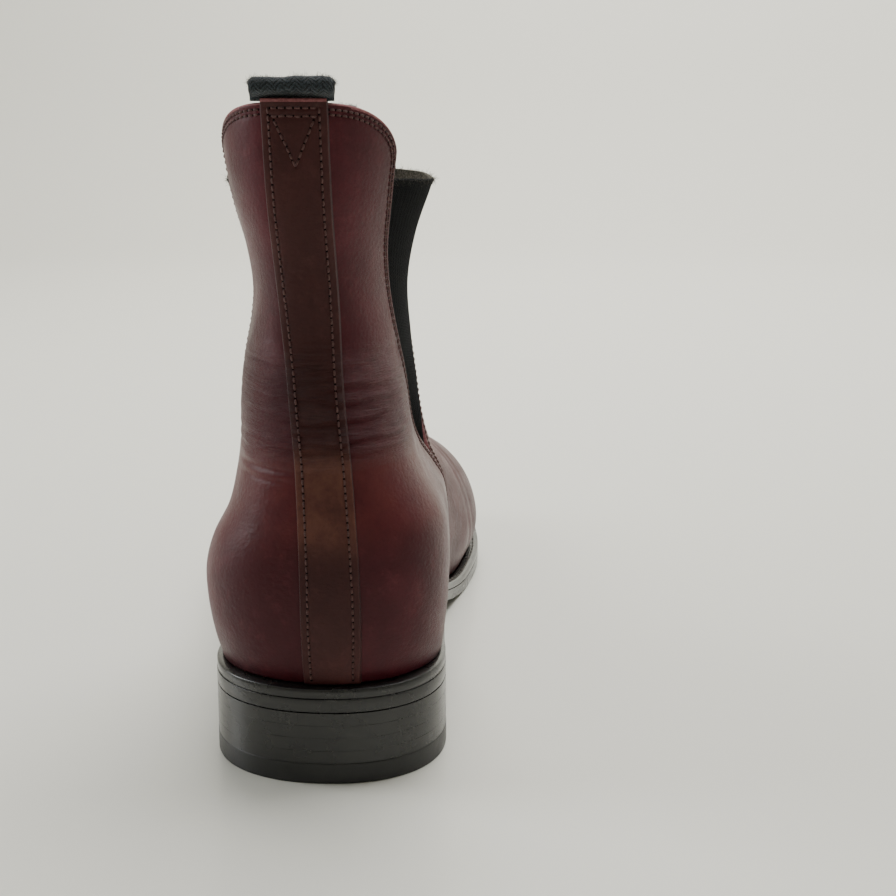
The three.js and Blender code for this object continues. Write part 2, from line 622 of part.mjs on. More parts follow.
function rearTail() {
  const face = (depth) => (z, across) => backPoint(across * LOOP_WIDTH / 2 - 0.5, z, depth);
  return shell(steps(158, TOP_Z - 0.5, 4), steps(-1, 1, 6), face(CORE_OUT), face(CORE_IN));
}

// The share across the front of the shaft that lies a given distance sideways from its front line.
function acrossFor(u, offset, depth) {
  const middle = frontPoint(u, 0, depth, 0).x;
  let near = 0;
  let far = 1;
  for (let k = 0; k < 30; k += 1) {
    const across = (near + far) / 2;
    if (Math.abs(frontPoint(u, across * (Math.sign(offset) || 1), depth, 0).x - middle) > Math.abs(offset)) far = across;
    else near = across;
  }
  return Math.sign(offset) * near;
}

function frontTail() {
  const face = (depth) => (u, offset) => frontPoint(u, acrossFor(u, offset, depth), depth, 0);
  const half = LOOP_WIDTH / 2;
  return shell(steps(19.8, TOP_SLICE - 0.05, 3), steps(-half, half, 6), face(CORE_OUT), face(CORE_IN));
}

function makeLoops() {
  add('rear_loop_tail', rearTail(), webbingFinish);
  add('rear_pull_loop', placedLoop(rearHinge), webbingFinish);
  add('front_loop_tail', frontTail(), webbingFinish);
  add('front_pull_loop', placedLoop(frontHinge), webbingFinish);
}

makeHeel();
makeBottom();
makeUpper();
makeLoops();

export default boot;
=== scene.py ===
"""The looks of a left chelsea boot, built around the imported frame.

Lengths are millimetres until a mesh is made. +Y points to the toe, +X to the inner side of the foot, +Z up.
The origin is the centre of the heel's tread. The form below is the one that the frame's solids were cut from,
so every piece lands on its solid without fitting.
"""
import math

import bpy
import numpy as np
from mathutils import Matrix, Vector
from mathutils.bvhtree import BVHTree
from mathutils.kdtree import KDTree


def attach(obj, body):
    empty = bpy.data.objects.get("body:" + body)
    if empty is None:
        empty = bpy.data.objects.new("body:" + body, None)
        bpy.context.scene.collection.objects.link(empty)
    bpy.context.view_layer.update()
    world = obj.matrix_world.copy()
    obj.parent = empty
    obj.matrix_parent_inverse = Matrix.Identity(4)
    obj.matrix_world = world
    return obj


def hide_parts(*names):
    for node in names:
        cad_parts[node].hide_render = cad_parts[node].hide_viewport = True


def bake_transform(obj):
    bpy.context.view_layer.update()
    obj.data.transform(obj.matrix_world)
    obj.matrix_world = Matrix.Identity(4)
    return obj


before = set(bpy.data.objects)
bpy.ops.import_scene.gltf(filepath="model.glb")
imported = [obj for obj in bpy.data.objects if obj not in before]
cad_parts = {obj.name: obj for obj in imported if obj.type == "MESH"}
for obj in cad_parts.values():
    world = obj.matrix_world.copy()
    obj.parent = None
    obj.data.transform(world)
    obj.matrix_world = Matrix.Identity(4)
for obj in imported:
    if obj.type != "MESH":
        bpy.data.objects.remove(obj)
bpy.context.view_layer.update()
MM = 0.001
rng = np.random.default_rng(7)

# ---- driving dimensions, as in the frame ----
GAP = 0.5  # between layers
SEAM = 0.4  # between panels that meet
BACK_SEAM = 0.1
LEATHER = 1.8  # thicknesses, from here to the strip
CORE = 1.4  # elastic, and the tails of the loops
LINING = 1.1
STRIP = 1.1
CORE_OUT = LEATHER + GAP  # depths below the outer face
CORE_IN = CORE_OUT + CORE
LINING_OUT = CORE_IN + GAP
LINING_IN = LINING_OUT + LINING

TOE_Y = 258.5
HEEL_SEAT = 28.2  # height of the ledge at the heel, and at the ball of the foot
BALL_SEAT = 7
TOE_SPRING = 11
BREAST_Y = 36  # front corners of the heel
TOP_Z = 187
STRIP_TOP_Z = TOP_Z + 1.1
TOP_FALL = 14  # how far the topline falls between the back strip and the quarters' edges
GUSSET_TOP_Z = 166.5
GUSSET_FOOT_Z = 80
UNDERLAP = 5  # how much of the elastic is held under each panel
TOP_SLICE = 21  # the form's last slice, along the topline
WELT = 2.7
SOLE = 3.85
TOP_PIECE = 6
LIFTS = 4
LIFT_GAP = 0.2  # between the lifts of the frame, closed to a hairline in the looks
HAIRLINE = 0.01
STACK_GAPS = 0.75  # all the gaps between heel seat, welt, sole and heel together
NAILS = 5
LOOP_WIDTH = 22
SEAT_INSET = 3.5  # how far welt and rand reach in under the upper
WAIST_Y = 66  # where they meet
LEDGE_GAP = 0.15  # between the upper and the ledge that it stands on
STITCH = 2.0  # distance between needle holes
HOLE_RADIUS = 0.36
HOLE_SIDES = 8
HAIR = 0.038  # radius of a loose fibre
BOW_RINGS = 7  # rings of points along one stitch
THREAD_SIDES = 6
WEB = 1.4  # thickness of the loops' webbing
NECK = 1.5  # height of the front loop's hinge line above the leather
REAR_NECK = 1.2  # the same above the backstay
NECK_DEPTH = 1.9  # how far each loop reaches down below its hinge line
HEEL_ROUND = 35  # how deep the heel is rounded behind
SHAFT_ROUND = (36.7, 52)  # the same for the shaft, lateral and medial
HEEL_POWER = 2.2  # how square the heel's round is: 2 is an ellipse
SHAFT_POWER = (2.2, 1.75)
TOP_POWER = (1.45, 1.7)
FRONT_POWER = 2.1

# Slices of the form: low y, low z, high y, high z, rounding depth of the front.
SLICES = np.array([
    [258.5, 16.9, 258.5, 17.7, 20], [257, 14, 256.5, 31, 20], [253, 12, 251.5, 37.5, 24],
    [245, 10, 242, 43.5, 28], [231, 7, 227, 48.5, 32], [208, 4, 205, 53.5, 38], [178, 3, 178, 60, 44],
    [148, 3, 150, 68, 52], [118, 5, 122, 78.5, 60], [88, 11, 98, 91.5, 66], [55, 18, 82, 102, 68],
    [20, 22, 74, 109.5, 62], [-12, 23, 70.5, 116, 56], [-33, 25.8, 69, 121, 50], [-35.6, 36, 68, 126.5, 46],
    [-36.3, 52, 67.6, 133, 43], [-34.5, 72, 67.4, 140, 41], [-30, 94, 67.4, 147, 40],
    [-27, 116, 67.6, 154.5, 39], [-27.5, 140, 68, 163, 42], [-30, 164, 68.5, 171.5, 52],
    [-31, 188, 69, 179.5, 60]])
BACK_SLICE = 13  # from here up the slices start on the back line

# Sideways places of the form's sides and middle: the shaft's by height, the foot's by slice.
SHAFT_LATERAL = [[22, -31.5], [28, -33], [36, -34.9], [47, -36.5], [56, -36.6], [64, -34.4], [73, -29.8],
                 [84, -27.2], [92, -26.2], [105, -26], [115, -25], [127, -22.6], [136, -21.7], [148, -23.2],
                 [160, -26.3], [176, -28.8], [190, -29.2]]
SHAFT_MEDIAL = [[22, 31.3], [28, 32.6], [36, 33.6], [47, 34.6], [60, 34.8], [71, 33], [78, 29.4],
                [86, 25.8], [95, 23.6], [107, 22.4], [120, 21.6], [135, 21], [150, 22.4], [163, 25],
                [176, 27.6], [190, 28.4]]
SHAFT_CENTRE = [[28, 2.2], [60, 1.9], [88, 0.4], [106, -1.3], [131, -3.0], [158, -4.8], [187, -5.7]]
FOOT_LATERAL = [[0, 6], [1, -4.5], [2, -13.5], [3, -24.5], [4, -35.5], [5, -46.5], [6, -52], [7, -51.5],
                [8, -46.2], [9, -40.7], [10, -37.4], [12, -37], [15, -32], [17, -29], [21, -31]]
FOOT_MEDIAL = [[0, 6], [1, 13.5], [2, 21.5], [3, 30.5], [4, 38.5], [5, 45], [6, 46.5], [7, 42.2], [8, 34.7],
               [9, 30], [10, 30.4], [12, 33.5], [14, 30.5], [16, 25.5], [18, 23], [21, 23]]
FOOT_CENTRE = [[0, 6], [4, 6], [6, 4], [7, 1.9], [8, 0.5], [9, 0], [10, 0.5], [12, 1]]
# Front edges of the quarters and rear edge of the shaft's front, as y by height.
QUARTER_EDGE = [[16, 75], [24, 69.5], [40, 57], [60, 45], [80, 33], [88, 23.5], [96, 16], [107, 9.5],
                [120, 4], [135, 1.5], [150, -1.5], [170, -5.5], [190, -6.5]]
SHAFT_EDGE = [[80, 33], [95, 40], [115, 45.5], [140, 49.5], [165, 52], [190, 53]]
LATERAL_SHIFT = 7  # the lateral quarter reaches further round
BACKSTAY_HALF = [[28, 8], [45, 8.4], [60, 8.3], [80, 8], [97, 7.8], [116, 7.8], [130, 8.2], [156, 8.65],
                 [190, 8.9]]
# How far the elastic stands out past the form at the middle of its width, by height.
BULGE_LATERAL = [[78, 0], [100, 3.7], [135, 4.5], [166, 6.2]]
BULGE_MEDIAL = [[78, 0], [86, 2.4], [92, 3.7], [102, 4.2], [118, 3.6], [135, 3.4], [150, 4.7], [166, 7.1]]


# ---- the form ----
def ease(start, end, value):
    s = np.clip((np.asarray(value, float) - start) / (end - start), 0, 1)
    return s * s * (3 - 2 * s)


def curve(table, x):
    """A smooth curve through a table of (x, value)."""
    table = np.asarray(table, float)
    xs, vs = table[:, 0], table[:, 1]
    x = np.clip(np.asarray(x, float), xs[0], xs[-1])
    slopes = np.diff(vs) / np.diff(xs)
    tangents = np.concatenate([slopes[:1], (slopes[:-1] + slopes[1:]) / 2, slopes[-1:]])
    i = np.clip(np.searchsorted(xs, x, side="right") - 1, 0, len(xs) - 2)
    h = xs[i + 1] - xs[i]
    s = (x - xs[i]) / h
    rise = (2 * s**3 - 3 * s**2 + 1) * vs[i] + (3 * s**2 - 2 * s**3) * vs[i + 1]
    return rise + (s**3 - 2 * s**2 + s) * h * tangents[i] + (s**3 - s**2) * h * tangents[i + 1]


def slice_column(k):
    return np.stack([np.arange(len(SLICES)), SLICES[:, k]], 1)


BACK_LINE = SLICES[BACK_SLICE:, [1, 0]]


def back_line(z):
    return curve(BACK_LINE, z)


def by_side(side, lateral, medial):
    return np.where(np.asarray(side) < 0, lateral, medial)


def quarter_edge(z, side):
    return curve(QUARTER_EDGE, z) + LATERAL_SHIFT * by_side(side, ease(GUSSET_FOOT_Z, 150, z), 0)


def shaft_edge(z):
    return np.where(z < GUSSET_FOOT_Z, curve(QUARTER_EDGE, z), curve(SHAFT_EDGE, z))


def back_shape(side, z):
    """How deep and how square the back is rounded: as the heel below, easing to the shaft's above."""
    share = ease(90, 150, z)
    deep = HEEL_ROUND + (by_side(side, *SHAFT_ROUND) - HEEL_ROUND) * share
    return deep, HEEL_POWER + (by_side(side, *SHAFT_POWER) - HEEL_POWER) * share


def top_line(y, side):
    """Height of the quarters' topline: level at the back, falling in a broad round to the front edge."""
    start = back_line(TOP_Z) + 2
    s = np.clip((y - start) / (quarter_edge(TOP_Z, side) - start), 0, 1)
    power = by_side(side, *TOP_POWER)
    return TOP_Z - TOP_FALL * (1 - (1 - s**power) ** (1 / power))


def ledge(y):
    """Height of the ledge that the upper stands on."""
    toe = np.clip((np.asarray(y, float) - 155) / 107, 0, 1.2)
    return HEEL_SEAT - (HEEL_SEAT - BALL_SEAT) * ease(BREAST_Y - 2, 146, y) + TOE_SPRING * toe**2


def rounding(run, depth, power):
    r = np.clip(run / depth, 0, 1)
    return (1 - (1 - r) ** power) ** (1 / power)


def slice_ends(u):
    low_y, low_z, high_y, high_z, deep = [curve(slice_column(k), u) for k in range(5)]
    length = np.hypot(high_y - low_y, high_z - low_z)
    return low_y, low_z, high_y, high_z, np.minimum(deep, length * 0.92), length


def search(test, shape, high=1.0):
    """Where a test turns from false to true between 0 and a bound, by halving."""
    before, after = np.zeros(shape), np.full(shape, high)
    for _ in range(26):
        middle = (before + after) / 2
        hit = test(middle)
        after = np.where(hit, middle, after)
        before = np.where(hit, before, middle)
    return (before + after) / 2


def slice_through(y, z):
    """The slice that passes through a place in side view."""
    def past(u):
        low_y, low_z, high_y, high_z, _, _ = slice_ends(u)
        return (high_y - low_y) * (z - low_z) - (high_z - low_z) * (y - low_y) <= 0

    return search(past, np.shape(y), float(TOP_SLICE))


def share_where(u, test):
    """Where on each slice a test turns from false to true, as a share of the slice's length."""
    low_y, low_z, high_y, high_z, _, _ = slice_ends(u)
    return search(lambda t: test(low_y + (high_y - low_y) * t, low_z + (high_z - low_z) * t), np.shape(u))


def form_point(side, u, y, z, depth):
    """Points of the form at places in side view; side is -1 for lateral and 1 for medial."""
    side, u, y, z, depth = np.broadcast_arrays(side, u, y, z, depth)
    foot = ease(15, 95, y)
    lateral = side < 0
    shaft_x = np.where(lateral, curve(SHAFT_LATERAL, z), curve(SHAFT_MEDIAL, z))
    foot_x = np.where(lateral, curve(FOOT_LATERAL, u), curve(FOOT_MEDIAL, u))
    centre = curve(SHAFT_CENTRE, z) * (1 - foot) + curve(FOOT_CENTRE, u) * foot
    full = np.abs(shaft_x * (1 - foot) + foot_x * foot - centre)
    turn = np.clip(u / 5, 0, 1) * math.pi / 2
    inward = depth * np.sin(turn)
    _, _, high_y, high_z, deep, _ = slice_ends(u)
    front = rounding(np.hypot(high_y - y, high_z - z) - inward, deep - inward, FRONT_POWER)
    back_deep, back_power = back_shape(side, z)
    back = rounding(y - back_line(z) - depth, back_deep - depth, back_power)
    low = np.clip(1 - (z - ledge(y)) / 14, 0, 1.3)
    tuck = 1 - 0.1 * low**2 * ease(30, 110, y)
    reach = np.maximum(0, full * tuck - inward) * front * back
    return np.stack([centre + side * reach, y - depth * np.cos(turn), z], -1)


def skin(side, y, z, depth):
    return form_point(side, slice_through(y, z), y, z, depth)


def back_point(offset, z, depth):
    """Points near the back centre line, set out by their sideways distance from it."""
    offset, z, depth = np.broadcast_arrays(offset, z, depth)
    centre = curve(SHAFT_CENTRE, z)
    reach = np.where(offset < 0, curve(SHAFT_LATERAL, z), curve(SHAFT_MEDIAL, z))
    share = np.abs(offset) / (np.abs(reach - centre) - depth)
    deep, power = back_shape(offset, z)
    run = (deep - depth) * (1 - (1 - share**power) ** (1 / power))
    return np.stack([centre + offset, back_line(z) + depth + run, z], -1)


# ---- meshes ----
def unit(vectors):
    return vectors / (np.linalg.norm(vectors, axis=-1, keepdims=True) + 1e-12)


def grid_normals(outer, inner):
    """Unit normals of a grid of points, turned away from the inner grid."""
    across = np.gradient(outer, axis=1)
    along = np.gradient(outer, axis=0)
    normal = unit(np.cross(along, across))
    turned = np.sum(normal * (outer - inner), axis=-1).mean() < 0
    return -normal if turned else normal


def make_mesh(name, points, faces, materials, slots=None, flat=None, uv=None):
    """An object from millimetre points; flat marks the faces that aren't smooth shaded."""
    mesh = bpy.data.meshes.new(name)
    mesh.from_pydata((np.asarray(points) * MM).tolist(), [], faces)
    for material in materials:
        mesh.materials.append(material)
    smooth = np.ones(len(faces), bool) if flat is None else ~np.asarray(flat)
    mesh.polygons.foreach_set("use_smooth", smooth)
    if slots is not None:
        mesh.polygons.foreach_set("material_index", np.asarray(slots, np.int32))
    if uv is not None:
        layer = mesh.uv_layers.new(name="UVMap")
        loops = np.empty(len(mesh.loops), np.int32)
        mesh.loops.foreach_get("vertex_index", loops)
        layer.data.foreach_set("uv", np.asarray(uv, np.float32)[loops].ravel())
    mesh.update()
    obj = bpy.data.objects.new(name, mesh)
    bpy.context.collection.objects.link(obj)
    return obj


def arc_lengths(grid, axis):
    """Distance run along one axis of a grid of points."""
    steps = np.linalg.norm(np.diff(grid, axis=axis), axis=-1)
    shape = list(steps.shape)
    shape[axis] = 1
    return np.concatenate([np.zeros(shape), np.cumsum(steps, axis=axis)], axis=axis)


def grid_faces(rows, columns):
    ids = np.arange(rows * columns).reshape(rows, columns)
    return np.stack([ids[:-1, :-1], ids[:-1, 1:], ids[1:, 1:], ids[1:, :-1]], -1).reshape(-1, 4)


def shell(name, outer, inner, materials, rolled=None):
    """A closed panel between two grids. Its materials are for the face, the inner side, the border and,
    where rolled is true, the part of the face that rolls over at a free edge."""
    rows, columns = outer.shape[:2]
    count = rows * columns
    ids = np.arange(count).reshape(rows, columns)
    front = grid_faces(rows, columns)
    back = front[:, ::-1] + count
    border = np.concatenate([ids[0, :], ids[1:, -1], ids[-1, -2::-1], ids[-2:0:-1, 0]])
    after = np.roll(border, -1)
    rim = np.stack([border, border + count, after + count, after], 1)
    i, j = rows // 2, columns // 2
    cross = np.cross(outer[i, j + 1] - outer[i, j], outer[i + 1, j] - outer[i, j])
    if np.dot(cross, outer[i, j] - inner[i, j]) < 0:
        front, back, rim = front[:, ::-1], back[:, ::-1], rim[:, ::-1]
    faces = np.concatenate([front, back, rim])
    slots = np.repeat([0, 1, 2], [len(front), len(back), len(rim)])
    if rolled is not None:
        slots[:len(front)][rolled[:-1, :-1].ravel() & rolled[1:, 1:].ravel()] = 3
    uv = np.stack([arc_lengths(outer, 1), arc_lengths(outer, 0)], -1).reshape(-1, 2) * MM
    points = np.concatenate([outer.reshape(-1, 3), inner.reshape(-1, 3)])
    return make_mesh(name, points, faces.tolist(), materials, slots, uv=np.tile(uv, (2, 1)))


def surface_tree(grid):
    """A search tree over a grid of points, to lay stitches and paths on it."""
    return BVHTree.FromPolygons(grid.reshape(-1, 3).tolist(), grid_faces(*grid.shape[:2]).tolist())


def resample(path, pitch):
    """Points at an even pitch along a polyline."""
    path = np.asarray(path, float)
    lengths = arc_lengths(path, 0)
    count = max(2, int(round(lengths[-1] / pitch)))
    places = np.linspace(0, lengths[-1], count + 1)
    return np.stack([np.interp(places, lengths, path[:, k]) for k in range(3)], 1)


def inset_path(border, distance, tree, inward):
    """A border moved inwards over the surface by a distance; inward picks the side."""
    border = resample(border, 0.8)
    run = unit(np.gradient(border, axis=0))
    moved = []
    for point, way in zip(border, run):
        normal = np.array(tree.find_nearest(Vector(point))[1])
        step = np.cross(normal, way) * distance
        if np.dot(step, inward) < 0:
            step = -step
        moved.append(np.array(tree.find_nearest(Vector(point + step))[0]))
    return np.array(moved)


def nearness(points, targets):
    """Distance from each point to the nearest of the targets."""
    tree = KDTree(len(targets))
    for k, target in enumerate(targets):
        tree.insert(target, k)
    tree.balance()
    return np.array([tree.find(point)[2] for point in points])


def press(outer, normals, path):
    """Presses a stitch line into a grid of points: a groove, deeper at each needle hole."""
    width, hole_width = 0.6, 0.45
    groove, hole = 0.14, 0.12
    dense = resample(path, 0.35)
    flat = outer.reshape(-1, 3)
    low, high = dense.min(0) - 3 * width, dense.max(0) + 3 * width
    near = np.nonzero(np.all((flat > low) & (flat < high), axis=1))[0]
    drop = np.zeros(len(flat))
    drop[near] = groove * np.exp(-(nearness(flat[near], dense) / width) ** 2)
    drop[near] += hole * np.exp(-(nearness(flat[near], resample(path, STITCH)) / hole_width) ** 2)
    outer -= normals * drop.reshape(outer.shape[:2])[..., None]


def tube_faces(base, rings, sides):
    faces = []
    for i in range(rings - 1):
        for j in range(sides):
            a, b = base + i * sides + j, base + i * sides + (j + 1) % sides
            faces.append((a, b, b + sides, a + sides))
    faces.append(tuple(base + j for j in range(sides))[::-1])
    faces.append(tuple(base + (rings - 1) * sides + j for j in range(sides)))
    return faces


def ring_round(centre, first, second, radius, sides):
    turn = np.linspace(0, 2 * math.pi, sides, endpoint=False)[:, None]
    return centre + radius * (first * np.cos(turn) + second * np.sin(turn))


def bow_of_thread(start, end, side, up, thick, lift, dip, sides):
    """One stitch: rings of points from hole to hole, highest and thickest in the middle."""
    points = []
    for s in np.linspace(0, 1, BOW_RINGS):
        bow = math.sin(math.pi * s)
        centre = start + (end - start) * (0.05 + 0.9 * s) + up * (lift * bow - dip * (1 - bow))
        points.append(ring_round(centre, side, up * 0.85, thick / 2 * (0.5 + 0.5 * bow**0.5), sides))
    return points


def stitches(name, paths, outer):
    """Rows of separate stitches, each dipping at both ends into a needle hole, whose depth is shown by a dark
    disc of painted shade.
    """
    tree = surface_tree(outer)
    inside = np.array([0, 20.0, 0])
    points, faces, slots = [], [], []
    count = 0
    for path in paths:
        ends = [tree.find_nearest(Vector(p)) for p in resample(path, STITCH)]
        places = np.array([hit[0] for hit in ends])
        ups = np.array([hit[1] for hit in ends])
        away = (places - inside) * [1, 1, 0]
        ups *= np.where(np.sum(ups * away, axis=1) < 0, -1, 1)[:, None]
        for start, end, up in zip(places[:-1], places[1:], ups):
            way = unit(end - start)
            side = np.cross(up, way)
            points += bow_of_thread(start, end, side, up, 0.62, 0.30, 0.12, THREAD_SIDES)
            new = tube_faces(count, BOW_RINGS, THREAD_SIDES)
            count += BOW_RINGS * THREAD_SIDES
            # a flat near-black disc over each needle hole: painted shade for the hole's depth
            points.append(ring_round(start + up * 0.07, way, side, HOLE_RADIUS, HOLE_SIDES))
            new.append(tuple(range(count, count + HOLE_SIDES)))
            count += HOLE_SIDES
            faces += new
            slots += [0] * (len(new) - 1) + [1]
    return make_mesh(name, np.concatenate(points), faces, [THREAD, HOLE_SHADE], slots)


# ---- materials ----
class Nodes:
    """Short names for building one material's node tree."""

    def __init__(self, name):
        self.material = bpy.data.materials.new(name)
        self.material.use_nodes = True
        self.tree = self.material.node_tree
        self.shader = self.tree.nodes["Principled BSDF"]
        self.place = self.add("ShaderNodeTexCoord").outputs["Object"]

    def add(self, kind, inputs=None, **settings):
        node = self.tree.nodes.new(kind)
        for key, value in settings.items():
            setattr(node, key, value)
        for key, value in (inputs or {}).items():
            self.put(node.inputs[key], value)
        return node

    def put(self, socket, value):
        if isinstance(value, bpy.types.NodeSocket):
            self.tree.links.new(value, socket)
        else:
            socket.default_value = value

    def set(self, **values):
        for key, value in values.items():
            self.put(self.shader.inputs[key.replace("_", " ")], value)
        return self.material

    def uv(self):
        return self.add("ShaderNodeTexCoord").outputs["UV"]

    def split(self, vector):
        return self.add("ShaderNodeSeparateXYZ", {"Vector": vector}).outputs

    def noise(self, scale, detail, rough, stretch=(1, 1, 1)):
        mapping = self.add("ShaderNodeMapping", {"Vector": self.place, "Scale": stretch})
        inputs = {"Vector": mapping.outputs[0], "Scale": scale, "Detail": detail, "Roughness": rough}
        return self.add("ShaderNodeTexNoise", inputs).outputs["Fac"]

    def cells(self, scale, feature="F1", output="Distance"):
        inputs = {"Vector": self.place, "Scale": scale}
        return self.add("ShaderNodeTexVoronoi", inputs, feature=feature).outputs[output]

    def math(self, operation, a, b=0.0):
        return self.add("ShaderNodeMath", {0: a, 1: b}, operation=operation).outputs[0]

    def times(self, a, b):
        return self.math("MULTIPLY", a, b)

    def wave(self, value, length):
        return self.math("SINE", self.times(value, 2 * math.pi / length))

    def remap(self, value, low, high, to_low=0.0, to_high=1.0):
        inputs = {"Value": value, "From Min": low, "From Max": high, "To Min": to_low, "To Max": to_high}
        return self.add("ShaderNodeMapRange", inputs, interpolation_type="SMOOTHSTEP").outputs["Result"]

    def mix(self, factor, a, b):
        node = self.add("ShaderNodeMix", data_type="RGBA")
        self.put(node.inputs["Factor"], factor)
        self.put(node.inputs["A"], a)
        self.put(node.inputs["B"], b)
        return node.outputs["Result"]

    def bump(self, height, distance, strength, normal=None):
        inputs = {"Height": height, "Distance": distance, "Strength": strength}
        if normal:
            inputs["Normal"] = normal
        return self.add("ShaderNodeBump", inputs).outputs["Normal"]


def rgb(r, g, b):
    return (r, g, b, 1.0)


def polished_leather(name, deep, warm, scuff, painted_highlight):
    """Smooth finished leather: clouded dye, pores, ankle wrinkles, a painted highlight in a band low on the
    shaft and an uneven polish.
    """
    n = Nodes(name)
    base = n.mix(n.remap(n.noise(22, 5, 0.6), 0.35, 0.7), deep, warm)
    base = n.mix(n.remap(n.noise(170, 5, 0.7), 0.5, 0.8, 0, 0.5), base, scuff)
    base = n.mix(n.remap(n.noise(1100, 4, 0.75), 0.4, 0.75, 0, 0.55), base, deep)
    height = n.split(n.place)["Z"]
    ankle = n.times(n.remap(height, 0.088, 0.095), n.remap(height, 0.126, 0.108))
    # painted highlight: a paler warm band between about 60 and 98 mm up stands in for a soft reflection
    highlight_band = n.times(n.remap(height, 0.060, 0.078), n.remap(height, 0.098, 0.088))
    base = n.mix(n.times(highlight_band, n.remap(n.noise(60, 5, 0.7), 0.3, 0.7, 0.2, 0.85)), base, painted_highlight)
    pore = n.remap(n.cells(1500), 0.0, 0.25, 1.0, 0.0)
    base = n.mix(n.times(pore, 0.35), base, rgb(0.008, 0.002, 0.003))
    polish = n.remap(n.noise(55, 5, 0.7), 0.3, 0.75, 0.31, 0.47)
    grain = n.bump(n.cells(900, "SMOOTH_F1"), 0.00011, 0.7)
    wrinkle = n.bump(n.noise(420, 6, 0.75, stretch=(1, 1, 2.2)), 0.00024, 0.6, grain)
    level = n.noise(150, 6, 0.68, stretch=(0.32, 0.32, 3.4))
    creased = n.bump(n.times(level, ankle), 0.0045, 0.75, wrinkle)
    return n.set(Base_Color=base, Roughness=polish, Normal=creased, Specular_IOR_Level=0.2)


def two_tone(name, pale, dark, noise, span, relief, rough):
    """A plain finish: a noise that mixes two tones over its span and also makes the relief."""
    n = Nodes(name)
    mask = n.noise(*noise)
    base = n.mix(n.remap(mask, *span), dark, pale)
    return n.set(Base_Color=base, Roughness=rough, Normal=n.bump(mask, *relief))


def raw_edge(name, pale, dark):
    """The cut edge of leather: fibrous and paler than its face."""
    return two_tone(name, pale, dark, (900, 6, 0.75, (1, 1, 2)), (0.35, 0.65), (0.0002, 0.7), 0.7)


def thread(name, pale, dark):
    return two_tone(name, pale, dark, (2600, 3, 0.6), (0.3, 0.7), (0.0001, 0.7), 0.6)


def lining_leather(name, pale, dark):
    n = Nodes(name)
    cloud = n.noise(40, 5, 0.6)
    n.set(Base_Color=n.mix(n.remap(cloud, 0.3, 0.75), dark, pale), Roughness=0.68, Specular_IOR_Level=0.3)
    return n.set(Normal=n.bump(n.cells(1100, "SMOOTH_F1"), 0.0001, 0.5))


def elastic(name, dark, light):
    """Woven elastic: rubber cords under a tight weave."""
    n = Nodes(name)
    across = n.split(n.uv())
    weave = n.times(n.wave(across["Y"], 0.0011), n.wave(across["X"], 0.0008))
    fuzz = n.noise(1500, 5, 0.8)
    n.set(Base_Color=n.mix(n.remap(fuzz, 0.4, 0.75), dark, light), Roughness=0.95, Specular_IOR_Level=0.12)
    n.set(Sheen_Weight=0.04, Sheen_Roughness=0.4)
    return n.set(Normal=n.bump(fuzz, 0.00025, 0.8, n.bump(weave, 0.00016, 0.7)))


def webbing(name, dark, light):
    """Herringbone webbing in two close greys, blurred by loose fibres."""
    n = Nodes(name)
    place = n.split(n.uv())
    drift = n.times(n.noise(260, 5, 0.75), 0.0024)
    diagonal = n.math("ADD", n.math("ADD", place["Y"], n.math("PINGPONG", place["X"], 0.0018)), drift)
    rib = n.wave(diagonal, 0.0012)
    fuzz = n.noise(1300, 6, 0.85)
    tone = n.math("ADD", n.times(rib, 0.07), fuzz)
    n.set(Base_Color=n.mix(n.remap(tone, 0.35, 0.8), dark, light), Roughness=0.95, Specular_IOR_Level=0.15)
    n.set(Sheen_Weight=0.25, Sheen_Roughness=0.5)
    return n.set(Normal=n.bump(fuzz, 0.0007, 0.9, n.bump(rib, 0.0002, 0.5)))


def waxed_edge(name):
    """Layered leather under black wax: fine level lines, nicks and a hard shine."""
    n = Nodes(name)
    cloud = n.noise(70, 5, 0.6)
    scratches = n.noise(30, 6, 0.8, stretch=(0.25, 0.25, 9))
    base = n.mix(n.remap(cloud, 0.4, 0.8), rgb(0.007, 0.007, 0.007), rgb(0.016, 0.016, 0.015))
    base = n.mix(n.remap(scratches, 0.68, 0.8, 0, 0.3), base, rgb(0.05, 0.05, 0.05))
    layers = n.bump(n.noise(60, 7, 0.75, stretch=(0.05, 0.05, 14)), 0.00009, 0.5)
    n.set(Base_Color=base, Roughness=n.remap(cloud, 0.3, 0.8, 0.2, 0.36))
    return n.set(Normal=n.bump(scratches, 0.00008, 0.3, layers), Coat_Weight=0.2, Coat_Roughness=0.16)


def black_rubber(name):
    n = Nodes(name)
    cloud = n.noise(90, 5, 0.65)
    base = n.mix(n.remap(cloud, 0.35, 0.8), rgb(0.008, 0.008, 0.0085), rgb(0.018, 0.018, 0.018))
    n.set(Base_Color=base, Roughness=n.remap(cloud, 0.3, 0.8, 0.34, 0.52))
    return n.set(Normal=n.bump(n.noise(1300, 4, 0.7), 0.00012, 0.5))


def cork(name):
    n = Nodes(name)
    grain = n.split(n.cells(420, output="Color"))["X"]
    n.set(Base_Color=n.mix(grain, rgb(0.12, 0.06, 0.03), rgb(0.36, 0.21, 0.1)), Roughness=0.95)
    return n.set(Normal=n.bump(n.cells(420), 0.0005, 0.6))


def steel(name):
    n = Nodes(name)
    brushed = n.noise(500, 5, 0.7, stretch=(1, 0.06, 1))
    n.set(Base_Color=rgb(0.5, 0.5, 0.52), Metallic=1.0, Roughness=n.remap(brushed, 0.3, 0.7, 0.28, 0.5))
    return n.set(Normal=n.bump(brushed, 0.00005, 0.4))


# Painted shade: near-black for the discs that stand in for the dark inside of needle holes.
def hole_shade_finish(name):
    n = Nodes(name)
    return n.set(Base_Color=rgb(0.003, 0.001, 0.0015), Roughness=0.9, Specular_IOR_Level=0.1)
